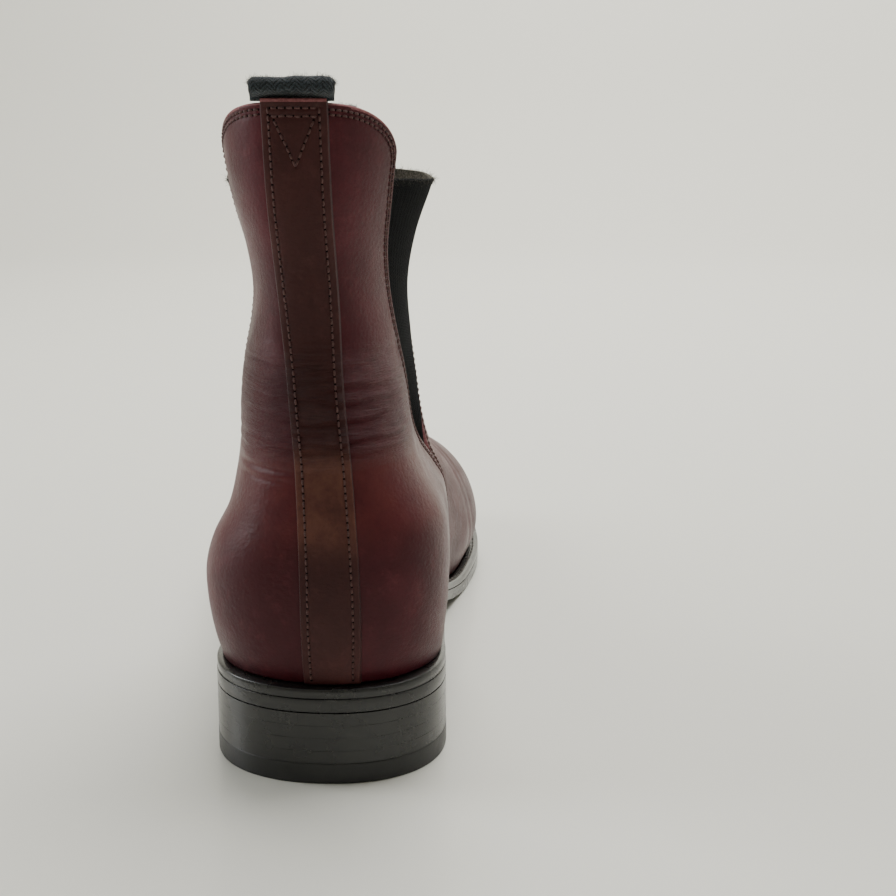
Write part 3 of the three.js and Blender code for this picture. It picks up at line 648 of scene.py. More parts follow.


# The last colour of each leather is the painted highlight of its band low on the shaft.
OXBLOOD = polished_leather("oxblood_leather", rgb(0.050, 0.0062, 0.0105), rgb(0.098, 0.0135, 0.0215),
                           rgb(0.130, 0.027, 0.034), rgb(0.105, 0.022, 0.022))
BACKSTAY = polished_leather("backstay_leather", rgb(0.042, 0.0115, 0.0115), rgb(0.072, 0.021, 0.020),
                            rgb(0.098, 0.035, 0.032), rgb(0.165, 0.066, 0.046))
FLESH = raw_edge("flesh_side", rgb(0.20, 0.11, 0.085), rgb(0.11, 0.05, 0.042))
CUT = raw_edge("cut_edge", rgb(0.30, 0.10, 0.105), rgb(0.15, 0.042, 0.047))
DYED_EDGE = raw_edge("dyed_edge", rgb(0.060, 0.016, 0.018), rgb(0.030, 0.008, 0.009))
TAN = lining_leather("lining_leather", rgb(0.42, 0.28, 0.17), rgb(0.27, 0.17, 0.1))
ELASTIC = elastic("gusset_elastic", rgb(0.0013, 0.0017, 0.0026), rgb(0.0070, 0.0082, 0.0115))
INNER_ELASTIC = elastic("gusset_inner_weave", rgb(0.045, 0.042, 0.034), rgb(0.24, 0.22, 0.18))
WEBBING = webbing("loop_webbing", rgb(0.006, 0.009, 0.012), rgb(0.085, 0.108, 0.128))
WAXED = waxed_edge("waxed_heel_edge")
RUBBER = black_rubber("top_piece_rubber")
THREAD = thread("upper_thread", rgb(0.125, 0.052, 0.047), rgb(0.050, 0.018, 0.018))
WELT_THREAD = thread("welt_thread", rgb(0.10, 0.085, 0.07), rgb(0.04, 0.034, 0.028))
HOLE_SHADE = hole_shade_finish("needle_hole_shade")
BOARD = two_tone("fibre_board", rgb(0.42, 0.29, 0.17), rgb(0.2, 0.12, 0.06), (260, 7, 0.8), (0.35, 0.7),
                 (0.0003, 0.5), 0.88)
CORK = cork("cork_grain")
STEEL = steel("plain_steel")


def on_boot(slot, *pieces):
    """Puts pieces on the main body. The slot is not used."""
    for piece in pieces:
        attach(piece, "boot")


# ---- upper ----
# Distances from a free edge, close together where the leather rolls over and the stitches run.
EDGE_STEPS = np.array([0, 0.12, 0.3, 0.6, 0.95, 1.3, 1.65, 2.0, 2.35, 2.7, 3.05, 3.4, 3.9, 4.6, 5.4, 6.4])
EDGE_ROUND = 0.8  # radius of a panel's rolled edge
ROLLED = 0.95  # width of the raw edge that shows on a panel's face
ROWS_IN = (1.75, 3.05)  # how far the two stitch lines run from the edge
QUARTER_HEIGHT = 158.0
UNDER_STRIP = 9.2  # the quarters' stitches end this far from the back centre line


def rise_steps(count):
    """Shares of a quarter's height, close together near its topline."""
    near = 1 - EDGE_STEPS[::-1] / QUARTER_HEIGHT
    return np.concatenate([np.linspace(0, near[0], count)[:-1], near])


def edge_distance(grid, sides):
    """Distance to the nearest of some borders, given as (axis, 0 for its first end or 1 for its last)."""
    away = np.full(grid.shape[:2], 1e3)
    for axis, end in sides:
        lengths = arc_lengths(grid, axis)
        away = np.minimum(away, lengths.take([-1], axis=axis) - lengths if end else lengths)
    return away


def rounded_edge(outer, normals, away, radius):
    """Rolls a panel's face over at its cut edges."""
    roll = radius - np.sqrt(np.maximum(0, radius**2 - (radius - np.minimum(away, radius)) ** 2))
    return outer - normals * roll[..., None]


def stitch_lines(border, outer, inward):
    """The two lines that follow a border; inward points from the border into the panel."""
    return [inset_path(border, distance, surface_tree(outer), np.array(inward)) for distance in ROWS_IN]


def work_face(outer, normals, away, radius, creases, rows):
    """A panel's face with its cut edges rolled over, its creases made and its stitch lines pressed in."""
    outer = rounded_edge(outer, normals, away, radius)
    outer -= normals * creases(outer)[..., None]
    for row in rows:
        press(outer, normals, row)
    return outer


def crease(depth, away, width, deep):
    """Adds one fold and the low swell beside it."""
    depth += deep * np.exp(-(away / width) ** 2)
    depth -= 0.48 * deep * np.exp(-((away - 2 * width) / (1.4 * width)) ** 2)


def ankle_creases(points):
    """Level creases where the back of the ankle bends, and a few deeper ones."""
    x, y, z = points[..., 0], points[..., 1], points[..., 2]
    depth = np.zeros(x.shape)
    for k, height in enumerate(np.linspace(91, 119, 17)):
        width = 0.55 + 0.25 * math.sin(2.1 * k) ** 2
        deep = 0.16 + 0.20 * math.sin(1.3 * k + 0.4) ** 2
        line = height + 0.8 * np.sin(x * 0.13 + 1.7 * k) + 0.4 * np.sin(x * 0.41 + k)
        line += 0.05 * (x + 2) * (-1) ** k
        crease(depth, z - line, width, deep * np.clip(0.25 + 1.1 * np.sin(x * 0.085 + 2.3 * k), 0, 1))
    for height, deep in ((84.6, 0.25), (87.6, 0.42)):
        crease(depth, z - height + 0.04 * x, 0.8, deep * ease(-6, -11, x) * ease(-27, -20, x))
    return depth * (1 - ease(-20, 14, y))


def quarter_grid(side, rises, columns, depth, top_drop=0.0):
    """Rows go up from the ledge, columns run from the front edge back to the centre line."""
    rest = np.linspace(0, 1, columns + 1)[1:]

    def y_at(z):
        front = quarter_edge(z, side) - SEAM / 2
        near = front[:, :len(EDGE_STEPS)] - EDGE_STEPS
        back = back_line(z[:, len(EDGE_STEPS):]) + depth
        reach = front[:, len(EDGE_STEPS):] - EDGE_STEPS[-1] - back
        return np.concatenate([near, back + reach * (1 - np.sin(rest * math.pi / 2))], 1)

    shape = (len(rises), len(EDGE_STEPS) + columns)
    low, high = np.full(shape, HEEL_SEAT), np.full(shape, float(TOP_Z))
    for _ in range(8):
        low = ledge(y_at(low)) + LEDGE_GAP
        high = top_line(y_at(high), side) - top_drop
    z = low + (high - low) * rises[:, None]
    grid = skin(side, y_at(z), z, depth)
    grid[..., 0] += side * BACK_SEAM / 2
    return grid


def quarter(side_name, side):
    """One leather back half of the shaft, stitched along its topline and front edge."""
    outer, inner = [quarter_grid(side, rise_steps(330), 90, depth) for depth in (0.0, LEATHER)]
    normals = grid_normals(outer, inner)
    top = outer[-1, ::-1]
    clear = top[np.abs(top[:, 0] - curve(SHAFT_CENTRE, TOP_Z)) > UNDER_STRIP]
    border = np.concatenate([clear[:-1], outer[::-1, 0]])
    rows = stitch_lines(border, outer, (0, -1.0, -0.4))
    away = edge_distance(outer, [(0, 1), (1, 0)])
    free = (outer[..., 2] > GUSSET_FOOT_Z) & (away < ROLLED)
    outer = work_face(outer, normals, away, EDGE_ROUND, ankle_creases, rows)
    panel = shell(f"quarter_{side_name}_panel", outer, inner, [OXBLOOD, FLESH, CUT, CUT], free)
    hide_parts(f"quarter_{side_name}")
    sewn = stitches(f"quarter_{side_name}_stitches", rows, outer)
    on_boot("upper_leather", panel, sewn)


def strip_point(offset, z):
    return back_point(offset, z, -0.3 - STRIP)


def backstay():
    """The strip over the back seam, with stitches along its sides, two lines across its top and a V."""
    low = HEEL_SEAT + 0.3
    tip = STRIP_TOP_Z - EDGE_STEPS[::-1]
    heights = np.concatenate([np.linspace(low, tip[0], 430)[:-1], tip])
    even = np.linspace(-1, 1, 61)
    across = 0.5 * np.sin(even * math.pi / 2) + 0.5 * even
    z = heights[:, None]
    half = curve(BACKSTAY_HALF, z)
    outer = strip_point(across * half, z)
    inner = back_point(across * half, z, -0.05)
    normals = grid_normals(outer, inner)
    away = edge_distance(outer, [(0, 1), (1, 0), (1, 1)])
    top = edge_distance(outer, [(0, 1)]) < 1.2
    side_z = np.linspace(low + 1.2, STRIP_TOP_Z - 2.2, 150)
    rows = [strip_point(side * (curve(BACKSTAY_HALF, side_z) - 2.2), side_z) for side in (-1, 1)]
    rows += [strip_point(np.linspace(-6.2, 6.2, 20), STRIP_TOP_Z - drop) for drop in (2.5, 4.6)]
    fall = STRIP_TOP_Z - np.linspace(5.6, 17.5, 12)
    rows += [strip_point(np.linspace(5.2 * side, 0, 12), fall) for side in (-1, 1)]
    outer = work_face(outer, normals, away, 0.55, ankle_creases, rows)
    strip = shell("backstay_strip", outer, inner, [BACKSTAY, FLESH, DYED_EDGE, CUT], top)
    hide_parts("backstay")
    sewn = stitches("backstay_stitches", rows, outer)
    on_boot("backstay_leather", strip, sewn)


def front_grid(slices, across, depth):
    """Rows are slices, columns run from the lateral edge over the front line to the medial edge."""
    side = np.where(across < 0, -1, 1)
    on_ledge = share_where(slices, lambda y, z: z > ledge(y) + LEDGE_GAP)
    on_seam = share_where(slices, lambda y, z: y > shaft_edge(z) + SEAM / 2)
    start = np.maximum(on_ledge, on_seam)
    low_y, low_z, high_y, high_z, _, length = slice_ends(slices)
    end = 1 - depth * np.sin(np.clip(slices / 5, 0, 1) * math.pi / 2) / length
    t = start + (end - start) * np.sin((1 - np.abs(across)) * math.pi / 2)
    y = low_y + (high_y - low_y) * t
    z = low_z + (high_z - low_z) * t
    return form_point(side, slices, y, z, depth)


def vamp_grid(rows, columns, depth, top_drop=0.0):
    """The whole front leather in one sheet, from the toe to the rounded corners of the front topline."""
    close = columns // 4
    half = np.concatenate([np.linspace(0, 0.1, close)[:-1], np.linspace(0.1, 1, columns - close + 1)])
    across = np.concatenate([half - 1, (1 - half[:-1])[::-1]])
    short = np.clip((0.34 - (1 - np.abs(across))) / 0.34, 0, 1)
    tops = TOP_SLICE - top_drop / 9 - 1.1 * (1 - np.sqrt(1 - short**2))
    foot = np.concatenate([np.linspace(0, 1, 14) ** 1.6, 1 + np.linspace(0, 1, rows)[1:] * 11])
    near_top = 1 - EDGE_STEPS[::-1] / 82
    shaft = np.concatenate([np.linspace(0, near_top[0], rows // 2)[1:-1], near_top])
    slices = np.concatenate([np.repeat(foot[:, None], len(across), 1), 12 + (tops - 12) * shaft[:, None]])
    return front_grid(slices, np.broadcast_to(across, slices.shape), depth)


# Creases of the front leather: place (y at the ball, height at the instep), width and depth.
BALL_CREASES = [(150, 2.6, 0.35), (158, 2.0, 0.28), (165, 2.8, 0.42), (173, 2.2, 0.25)]
INSTEP_CREASES = [(104, 1.6, 0.22), (110, 1.3, 0.30), (116, 1.5, 0.25), (123, 1.7, 0.16)]


def front_creases(points):
    """Shallow flex creases across the ball of the foot and where the instep bends."""
    x, y, z = points[..., 0], points[..., 1], points[..., 2]
    depth = np.zeros(x.shape)
    for k, (place, width, deep) in enumerate(BALL_CREASES):
        line = place + 5 * np.sin(x * 0.05 + 0.8 * k) + 1.2 * np.sin(x * 0.21 + 2 * k)
        crease(depth, y - line, width, deep * (0.35 + 0.65 * np.sin(x * 0.045 + 1.3 * k) ** 2))
    front = ease(48, 66, y) * (1 - ease(86, 100, y))
    for k, (height, width, deep) in enumerate(INSTEP_CREASES):
        line = height + 1.8 * np.sin(x * 0.1 + 1.1 * k) - 0.006 * x**2
        crease(depth, z - line, width, deep * front)
    return depth


def vamp():
    """The front leather in one sheet."""
    outer, inner = [vamp_grid(190, 72, depth) for depth in (0.0, LEATHER)]
    normals = grid_normals(outer, inner)
    lateral, medial = [edge[(edge[:, 2] > 25) & (edge[:, 1] < 73)] for edge in (outer[:, 0], outer[:, -1])]
    border = np.concatenate([lateral[:-1], outer[-1], medial[::-1][1:]])
    rows = stitch_lines(border, outer, (0, 1.0, -0.4))
    away = edge_distance(outer, [(0, 1), (1, 0), (1, 1)])
    free = (outer[..., 2] > GUSSET_FOOT_Z) & (away < ROLLED) & (outer[..., 1] < 72)
    away[outer[..., 2] < 40] = 1e3
    outer = work_face(outer, normals, away, EDGE_ROUND, front_creases, rows)
    panel = shell("vamp_leather", outer, inner, [OXBLOOD, FLESH, CUT, CUT], free)
    sewn = stitches("front_stitches", rows, outer)
    for piece in (panel, sewn):
        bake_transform(piece)
    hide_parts("vamp", "front_shaft")


def linings():
    outer, inner = [vamp_grid(60, 34, depth, 1.0) for depth in (LINING_OUT, LINING_IN)]
    front = shell("front_lining", outer, inner, [TAN, TAN, CUT])
    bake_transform(front)
    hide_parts("vamp_lining", "front_shaft_lining")
    for name, side in (("lateral", -1), ("medial", 1)):
        depths = (LINING_OUT, LINING_IN)
        outer, inner = [quarter_grid(side, rise_steps(60), 36, depth, 1.0) for depth in depths]
        piece = shell(f"back_lining_{name}", outer, inner, [TAN, TAN, CUT])
        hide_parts(f"quarter_lining_{name}")
        on_boot("lining_leather", piece)


def gusset_grid(side, bulges, rises, across, depth):
    low = GUSSET_FOOT_Z - 6
    rise, share = np.meshgrid(rises, across, indexing="ij")
    level = low + (GUSSET_TOP_Z - low) * rise
    front = shaft_edge(level)
    back = np.minimum(quarter_edge(level, side), front)
    wide = np.maximum(0.01, front - back)
    y = back - UNDERLAP + (wide + 2 * UNDERLAP) * share
    inside = np.clip((y - back - 1) / np.maximum(0.01, wide - 2), 0, 1)
    lip = 1.3 * ease(0.45, 0.7, share) * (1 - ease(0.85, 0.98, share)) - 1.0 * np.sin(math.pi * share) ** 2
    point = skin(side, y, level + lip * rise**6, depth)
    point[..., 0] += side * curve(bulges, level) * np.sin(math.pi * inside) ** 1.1
    return point, inside


def gusset(name, side, bulges):
    """Ribbed elastic between quarter and vamp, held under both, with a thick woven lip along its top."""
    ribs = 38
    across = np.linspace(0, 1, ribs * 4 + 1)
    rises = np.concatenate([np.linspace(0, 0.93, 110)[:-1], np.linspace(0.93, 1, 24)])
    outer, inside = gusset_grid(side, bulges, rises, across, CORE_OUT)
    inner, _ = gusset_grid(side, bulges, rises, across, CORE_IN)
    normals = grid_normals(outer, inner)
    rib = np.cos(2 * math.pi * ribs * across)[None, :] * np.where(rises < 0.965, 1, 0.3)[:, None]
    shown = np.sin(math.pi * inside) > 0.05
    outer += normals * (0.045 * rib * shown)[..., None]
    inner -= normals * (0.10 * rib * shown)[..., None]
    fat = 0.35 * np.exp(-((1 - rises) / 0.012) ** 2)[:, None] * shown
    outer += normals * fat[..., None]
    outer = rounded_edge(outer, normals, edge_distance(outer, [(0, 1)]), 0.7)
    piece = shell(f"gusset_{name}_elastic", outer, inner, [ELASTIC, INNER_ELASTIC, INNER_ELASTIC])
    fringe = hairs(f"gusset_{name}_fringe", outer[-8:], INNER_ELASTIC, 700, 1.15)
    for part in (piece, fringe):
        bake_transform(part)
    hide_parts(f"gusset_{name}")


def hairs(name, grid, material, count, longest, edges=0.66):
    """Loose fibres standing off a woven grid, most of them along its borders."""
    rows, columns = grid.shape[:2]
    normals = grid_normals(grid, np.broadcast_to(grid.reshape(-1, 3).mean(0), grid.shape))
    level, upright = np.array([[1.0, 0, 0], [0, 0.7, 0.7]])
    points, faces = [], []
    for k in range(count):
        i, j = int(rng.integers(0, rows)), int(rng.integers(0, columns))
        if rng.uniform() < edges:
            i = rows - 1 - int(rng.integers(0, min(3, rows)))
        way = normals[i, j] * rng.uniform(0.2, 0.9) + rng.normal(0, 0.55, 3)
        bend = rng.normal(0, 0.4, 3)
        length = longest * rng.uniform(0.3, 1.0)
        for s in np.linspace(0, 1, 4):
            centre = grid[i, j] + length * (way * s + bend * s * s)
            points.append(ring_round(centre, level, upright, HAIR * (1 - 0.6 * s), 3))
        faces += tube_faces(12 * k, 4, 3)
    return make_mesh(name, np.concatenate(points), faces, [material])


# ---- bottom ----
def rim_base(side, along):
    back = back_line(HEEL_SEAT)
    y = back + (TOE_Y - back) * (1 - np.cos(math.pi * np.clip(along, 0, 1))) / 2
    return skin(side, y, ledge(y), 0.0)[..., :2]


def rim(side, along, grow):
    """The upper's outline on the ledge, in plan, grown outwards; along runs from 0 behind to 1 at the toe."""
    along = np.asarray(along, float)
    here = rim_base(side, along)
    run = rim_base(side, along + 0.004) - rim_base(side, along - 0.004)
    normal = unit(np.stack([side * run[..., 1], -side * run[..., 0]], -1))
    normal = np.where((along <= 0)[..., None], [0.0, -1.0], normal)
    normal = np.where((along >= 1)[..., None], [0.0, 1.0], normal)
    return here + normal * np.asarray(grow)[..., None]


def along_at(y):
    back = back_line(HEEL_SEAT)
    return float(np.arccos(1 - 2 * (y - back) / (TOE_Y - back)) / math.pi)


def proud(y):
    """How far the bottom stands out past the upper."""
    return 4.4 - 3.6 * ease(-34, 8, y) + 3.9 * ease(60, 130, y)


def round_end(alongs):
    """Sides and shares of the way along the lateral side, round one end and back along the medial side."""
    shares = np.concatenate([alongs, alongs[-2::-1]])
    return np.where(np.arange(len(shares)) < len(alongs), -1.0, 1.0), shares


def bottom_edge(side, along, grow):
    """The bottom's outline in plan, grown by a constant."""
    return rim(side, along, proud(rim_base(side, along)[..., 1]) + grow)


def at_ledge(plan, lift):
    return np.column_stack([plan, ledge(plan[:, 1]) + lift])


def breast(start, end):
    """The hollow front face of the heel block, from the medial corner to the lateral one."""
    s = np.linspace(0, 1, 24)[1:-1, None]
    control = np.array([0.0, BREAST_Y - 9])
    return (1 - s) ** 2 * start + 2 * s * (1 - s) * control + s**2 * end


def heel_ring(grow):
    alongs = along_at(BREAST_Y) * (1 - np.linspace(0, 1, 60) ** 1.2)
    ring = bottom_edge(*round_end(alongs), grow)
    return np.concatenate([ring, breast(ring[-1], ring[0])])


def nail_places():
    angles = np.linspace(-1, 1, NAILS) * math.pi * 0.62
    return np.stack([1 + 20 * np.sin(angles), -4 - 20 * np.cos(angles)], 1)


def slab(name, profile, material, wobble=0.0, seed=0):
    """A layer of the heel whose edge follows a profile of (outward, height) steps."""
    rings = []
    for out, height in profile:
        ring = heel_ring(out)
        turn = np.linspace(0, 2 * math.pi, len(ring), endpoint=False)
        waves = np.sin(7 * turn + seed) + 0.6 * np.sin(17 * turn + 2.3 * seed)
        waves += 0.4 * np.sin(41 * turn + seed)
        rings.append(np.column_stack([ring, height + wobble * waves]))
    return sweep(name, np.stack(rings), material)


def edge_profile(bottom, top, out, bevel):
    """A square edge with small bevels, as steps from its bottom to its top."""
    lower = [(out - bevel, bottom), (out - bevel * 0.3, bottom + bevel * 0.3), (out, bottom + bevel),
             (out, bottom + bevel * 1.8)]
    upper = [(across, bottom + top - height) for across, height in lower[::-1]]
    return lower + upper


def heel():
    """The stacked heel: a rubber top piece, and leather lifts that are all but flush."""
    heel_top = HEEL_SEAT - WELT - SOLE - STACK_GAPS
    layer = (heel_top - TOP_PIECE - LIFT_GAP * LIFTS) / LIFTS
    piece = slab("heel_top_rubber", edge_profile(0, TOP_PIECE + 0.05, 0.06, 0.3), RUBBER)
    cut_nail_holes(piece)
    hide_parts("heel_top_piece")
    on_boot("top_piece_rubber", piece)
    for k in range(LIFTS):
        under = TOP_PIECE + 0.08 + k * (layer + LIFT_GAP)
        profile = edge_profile(under, under + layer + LIFT_GAP - HAIRLINE, -HAIRLINE * (k % 2), 0.035)
        lift = slab(f"heel_lift_{k + 1}_edge", profile, WAXED, 0.02, k + 1)
        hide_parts(f"heel_lift_{k + 1}")
        on_boot("polished_edge", lift)


def cut_nail_holes(piece):
    """Countersinks the tread for the nail heads."""
    for k, (x, y) in enumerate(nail_places()):
        place = (x * MM, y * MM, 0)
        bpy.ops.mesh.primitive_cylinder_add(vertices=24, radius=2.5 * MM, depth=8 * MM, location=place)
        cutter = bpy.context.active_object
        cut = piece.modifiers.new(f"hole_{k}", "BOOLEAN")
        cut.operation = "DIFFERENCE"
        cut.solver = "EXACT"
        cut.object = cutter
        bpy.context.view_layer.objects.active = piece
        bpy.ops.object.modifier_apply(modifier=cut.name)
        bpy.data.objects.remove(cutter, do_unlink=True)


def edge_band(name, alongs, outer_out, under, over, bevel):
    """A waxed strip that follows the edge of the upper, with a rounded outer edge."""
    corner = [(None, 0.0), (0.0, 0.0), (0.3, 0.3), (1.0, 1.0)]
    steps = [(share, under + rise * bevel) for share, rise in corner]
    steps.append((1.0, (under + over) / 2))
    steps += [(share, over - rise * bevel) for share, rise in corner[::-1]]
    sides, shares = round_end(alongs)
    outward = outer_out(rim_base(sides, shares)[..., 1])
    rings = []
    for share, height in steps:
        grow = np.full(len(shares), -SEAT_INSET) if share is None else outward - bevel * (1 - share)
        rings.append(at_ledge(rim(sides, shares, grow), height))
    return sweep(name, np.stack(rings, 1), WAXED)


def sweep(name, rings, material):
    """Joins rings of points, one after another, and closes both ends."""
    count, sides = rings.shape[:2]
    ids = np.arange(count * sides).reshape(count, sides)
    nxt = np.roll(ids, -1, axis=1)
    faces = np.stack([ids[:-1], nxt[:-1], nxt[1:], ids[1:]], -1).reshape(-1, 4).tolist()
    faces += [ids[0, ::-1].tolist(), ids[-1].tolist()]
    first = rings[0]
    centre = first.mean(0)
    forward = rings[1].mean(0) - centre
    area = sum(np.cross(first[k] - centre, first[(k + 1) % sides] - centre) for k in range(sides))
    if np.dot(area, forward) < 0:
        faces = [face[::-1] for face in faces]
    places = np.meshgrid(arc_lengths(rings.mean(1), 0), arc_lengths(first, 0), indexing="ij")
    uv = np.stack(places, -1).reshape(-1, 2) * MM
    flat = [False] * (len(faces) - 2) + [True, True]
    return make_mesh(name, rings.reshape(-1, 3), faces, [material], flat=flat, uv=uv)


def bottom():
    """Outsole, welt with its stitching, and the rand round the heel seat."""
    waist = along_at(WAIST_Y)
    front = waist + (1 - waist) * np.sin(np.linspace(0, 1, 130) * math.pi / 2)
    rear = (waist - 0.0004) * (1 - np.sin(np.linspace(0, 1, 110) * math.pi / 2))
    under = -LEDGE_GAP - WELT
    welt = edge_band("welt_strip", front, proud, under - 0.1, -LEDGE_GAP, 0.35)
    rand = edge_band("heel_rand_strip", rear, lambda y: proud(y) - 0.12, under - 0.2, -0.1, 0.22)
    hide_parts("welt")
    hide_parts("heel_rand")
    sole = outsole(under - 0.25)
    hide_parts("outsole")
    sides, shares = round_end(front)
    plan = rim(sides, shares, proud(rim_base(sides, shares)[..., 1]) * 0.55)
    sewn = welt_stitches(at_ledge(plan, -0.12))
    on_boot("polished_edge", welt, rand, sole, sewn)


def welt_stitches(path):
    sides = 8
    ends = resample(path, 4.2)
    points, faces = [], []
    for start, end in zip(ends[:-1], ends[1:]):
        way = unit(end - start)
        side = np.cross([0, 0, 1.0], way)
        faces += tube_faces(sides * len(points), BOW_RINGS, sides)
        points += bow_of_thread(start, end, side, np.cross(way, side), 0.84, 0.16, 0.3, sides)
    return make_mesh("welt_stitches", np.concatenate(points), faces, [WELT_THREAD])


def outsole(top):
    """The sole in rows across the foot: flat above, with a softened edge below."""
    blunt = 0.0006  # the two sides stop just short of where they would meet in a sliver
    alongs = np.linspace(blunt, 1 - blunt, 150)
    low = top - SOLE
    profile = [(-0.1, top), (-0.03, top - 0.03), (0, top - 0.1), (0, low + 0.2), (-0.05, low + 0.05),
               (-0.15, low)]
    rows = [[at_ledge(bottom_edge(side, alongs, out), z) for side in (-1.0, 1.0)] for out, z in profile]
    across = np.linspace(0, 1, 9)[1:-1]
    top_rows = [rows[0][0] * (1 - s) + rows[0][1] * s for s in across]
    low_rows = [rows[-1][1] * (1 - s) + rows[-1][0] * s for s in across]
    loop = [r[0] for r in rows[::-1]] + top_rows + [r[1] for r in rows] + low_rows
    return sweep("outsole_edge", np.stack(loop, 1), WAXED)


# ---- pull loops ----
def band_path(height, depth, slump):
    """The loop's middle line in side view, from one end in its neck over the top to the other."""
    half, top = depth / 2 - 0.7, height - 0.7
    side = [(0.66, -NECK_DEPTH), (0.75, -0.9), (half * 0.45, -0.1), (half * 0.85, 0.7), (half, top * 0.45),
            (half * 0.86, top * 0.8), (half * 0.45, top)]
    points = np.array(side + [(-y, z) for y, z in side[::-1]])
    knots = np.linspace(0, 1, len(points))
    t = np.linspace(0, 1, 110)
    y, z = [curve(np.stack([knots, points[:, k]], 1), t) for k in (0, 1)]
    lean = np.clip(z / top, 0, 1) ** 2
    return np.stack([y + slump * lean, z - 0.12 * abs(slump) * lean], 1)


def pull_loop(name, rider, hinge, height, outward):
    """Webbing folded over and sewn in at its neck, soft and slumped, with fibres standing off it."""
    path = band_path(height, 8.2, 0.5 * outward)
    run = unit(np.gradient(path, axis=0))
    normal = np.stack([run[:, 1], -run[:, 0]], 1)
    widths = np.sin(np.linspace(-1, 1, 61) * math.pi / 2) / 2
    x = hinge[0] + widths * LOOP_WIDTH
    near_end = np.clip((np.abs(widths) - 0.45) / 0.05, 0, 1)
    edge = np.sqrt(1 - 0.9 * near_end**2)
    rise = np.clip(path[:, 1:2] / height, 0, 1)
    sag = rise * (0.22 * np.cos(x * 0.33 + 0.6) + 0.10 * np.sin(x * 0.9) - 0.95 * near_end**2)
    sway = rise * 0.3 * np.sin(x * 0.27 + 1.0)
    along = np.arange(len(path))[:, None] / 2.6
    rib = 0.02 * np.sin(2 * math.pi * (along + np.abs((x / 3.6) % 1 - 0.5) * 3.2))

    def face(lift):
        out = lift * WEB / 2 * edge + rib * np.sign(lift)
        y = hinge[1] + path[:, 0:1] + normal[:, 0:1] * out + sway
        z = hinge[2] + path[:, 1:2] + normal[:, 1:2] * out + sag
        return np.stack([np.broadcast_to(x, y.shape), y, z], -1)

    loop = shell(f"{name}_webbing", face(1.0), face(-1.0), [WEBBING] * 3)
    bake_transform(loop)
    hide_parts(name)
    crown = face(1.0)[40:-40]
    fuzz = hairs(f"{name}_fuzz", crown, WEBBING, 1000, 0.8, 0.0)
    ends = hairs(f"{name}_end_fuzz", crown[:, [0, 1, 2, -3, -2, -1]], WEBBING, 240, 0.85, 0.0)
    for piece in (fuzz, ends):
        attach(piece, rider)


def loops():
    centre = float(curve(SHAFT_CENTRE, TOP_Z))
    tail = (CORE_OUT + CORE_IN) / 2
    rear = (centre - 0.5, float(back_line(TOP_Z)) + tail, STRIP_TOP_Z + REAR_NECK)
    _, _, high_y, high_z, _, _ = slice_ends(np.array(float(TOP_SLICE)))
    front = (centre, float(high_y) - tail, float(high_z) + NECK)
    pull_loop("rear_pull_loop", "rear_loop", rear, 4.3, -1.0)
    pull_loop("front_pull_loop", "front_loop", front, 6.0, 1.0)


# ---- hidden and plain parts keep their solids and get their own finishes ----
def finish_solids():
    finishes = {"heel_nail": STEEL, "shank": STEEL, "cork_filler": CORK, "seat_filler": BOARD,
                "insole": BOARD, "toe_puff": BOARD, "heel_counter": BOARD, "sock_liner": TAN,
                "rear_loop_tail": WEBBING, "front_loop_tail": WEBBING}
    for name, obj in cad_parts.items():
        for start, material in finishes.items():
            if name.startswith(start):
                obj.data.materials.clear()
                obj.data.materials.append(material)


# ---- stage ----
def studio_paper():
    n = Nodes("studio_paper")
    base = n.mix(n.noise(3, 3, 0.5), rgb(0.709, 0.702, 0.640), rgb(0.72, 0.713, 0.65))
    return n.set(Base_Color=base, Roughness=0.45, Coat_Weight=0.2, Coat_Roughness=0.1)


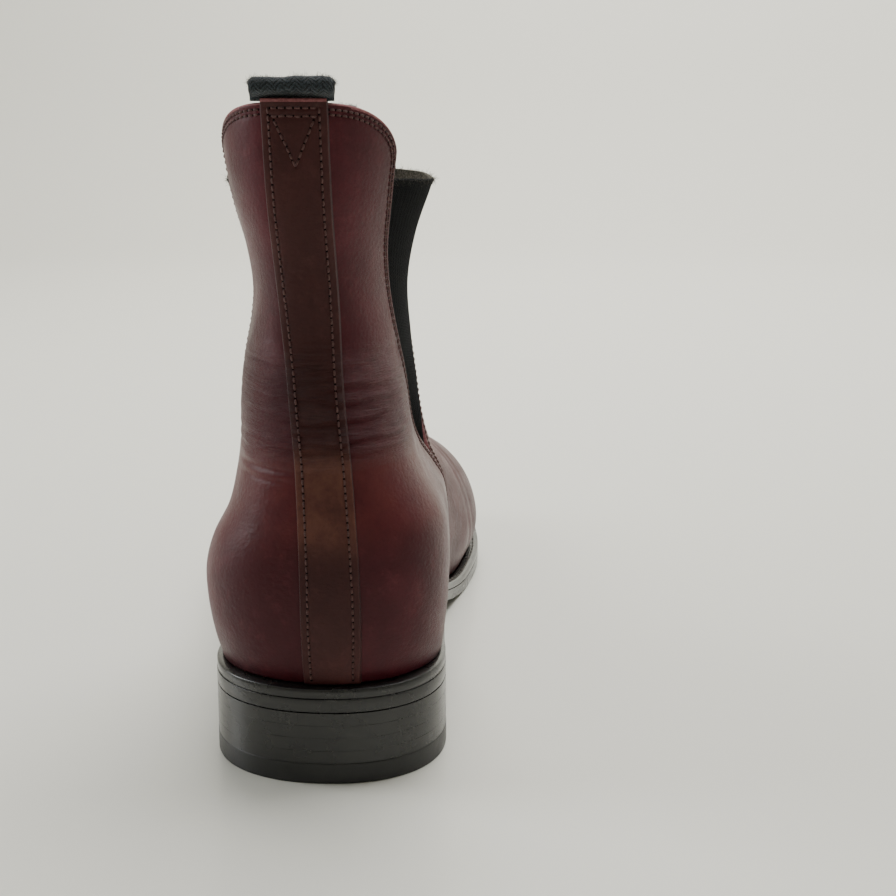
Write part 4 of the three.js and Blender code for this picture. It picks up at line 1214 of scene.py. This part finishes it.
def stage():
    """A pale floor that curves up into a wall all round."""
    radius, bend, high, sides = 2600, 900, 3000, 72
    flat = radius - bend
    profile = [(r, 0.0) for r in (20, 400, 900, flat)]
    for turn in np.linspace(0, math.pi / 2, 14)[1:]:
        profile.append((flat + bend * math.sin(turn), bend - bend * math.cos(turn)))
    profile.append((radius, high))
    angles = np.linspace(0, 2 * math.pi, sides, endpoint=False)
    points = [(r * math.cos(a), r * math.sin(a), z) for r, z in profile for a in angles]
    faces = [face[::-1] for face in tube_faces(0, len(profile), sides)[:-1]]
    make_mesh("studio_floor", points, faces, [studio_paper()])


def area_light(name, place, aim, size, power, colour):
    light = bpy.data.lights.new(name, "AREA")
    light.shape = "RECTANGLE"
    light.size, light.size_y = size
    light.energy = power
    light.color = colour
    obj = bpy.data.objects.new(name, light)
    obj.location = place
    obj.rotation_euler = (Vector(aim) - Vector(place)).to_track_quat("-Z", "Y").to_euler()
    bpy.context.collection.objects.link(obj)


def lights():
    """A window on the lateral side and lamps above the toe and on the wall; the heel side stays dim."""
    area_light("window", (-1.1, 0.2, 0.7), (0, 0, 0.1), (0.5, 1.0), 9.5, (0.96, 0.98, 1.0))
    area_light("reflector", (1.3, 0.7, 0.6), (0, 0, 0.1), (0.4, 0.8), 1.0, (1.0, 0.99, 0.97))
    area_light("overhead", (0.2, 0.55, 1.3), (0.1, 0.5, 0), (1.1, 0.9), 29, (1.0, 0.99, 0.97))
    area_light("wall_lamp", (0.3, 1.35, 1.5), (0.3, 2.6, 0.5), (1.2, 0.5), 36, (1.0, 0.98, 0.94))
    world = bpy.data.worlds.new("studio")
    world.use_nodes = True
    world.node_tree.nodes["Background"].inputs["Color"].default_value = rgb(0.86, 0.88, 0.9)
    world.node_tree.nodes["Background"].inputs["Strength"].default_value = 0.18
    bpy.context.scene.world = world


def camera():
    """The view from behind the heel, a little above it and to the inner side."""
    data = bpy.data.cameras.new("camera")
    data.sensor_width = 36
    data.lens = 60.268
    data.clip_start = 0.01
    obj = bpy.data.objects.new("camera", data)
    obj.location = (0.0345, -0.430, 0.183)
    obj.rotation_euler = (math.radians(90 - 12.4), 0, 0)
    bpy.context.collection.objects.link(obj)
    bpy.context.scene.camera = obj


camera()
lights()
stage()
heel()
bottom()
quarter("lateral", -1.0)
quarter("medial", 1.0)
backstay()
vamp()
linings()
gusset("lateral", -1.0, BULGE_LATERAL)
gusset("medial", 1.0, BULGE_MEDIAL)
loops()
finish_solids()
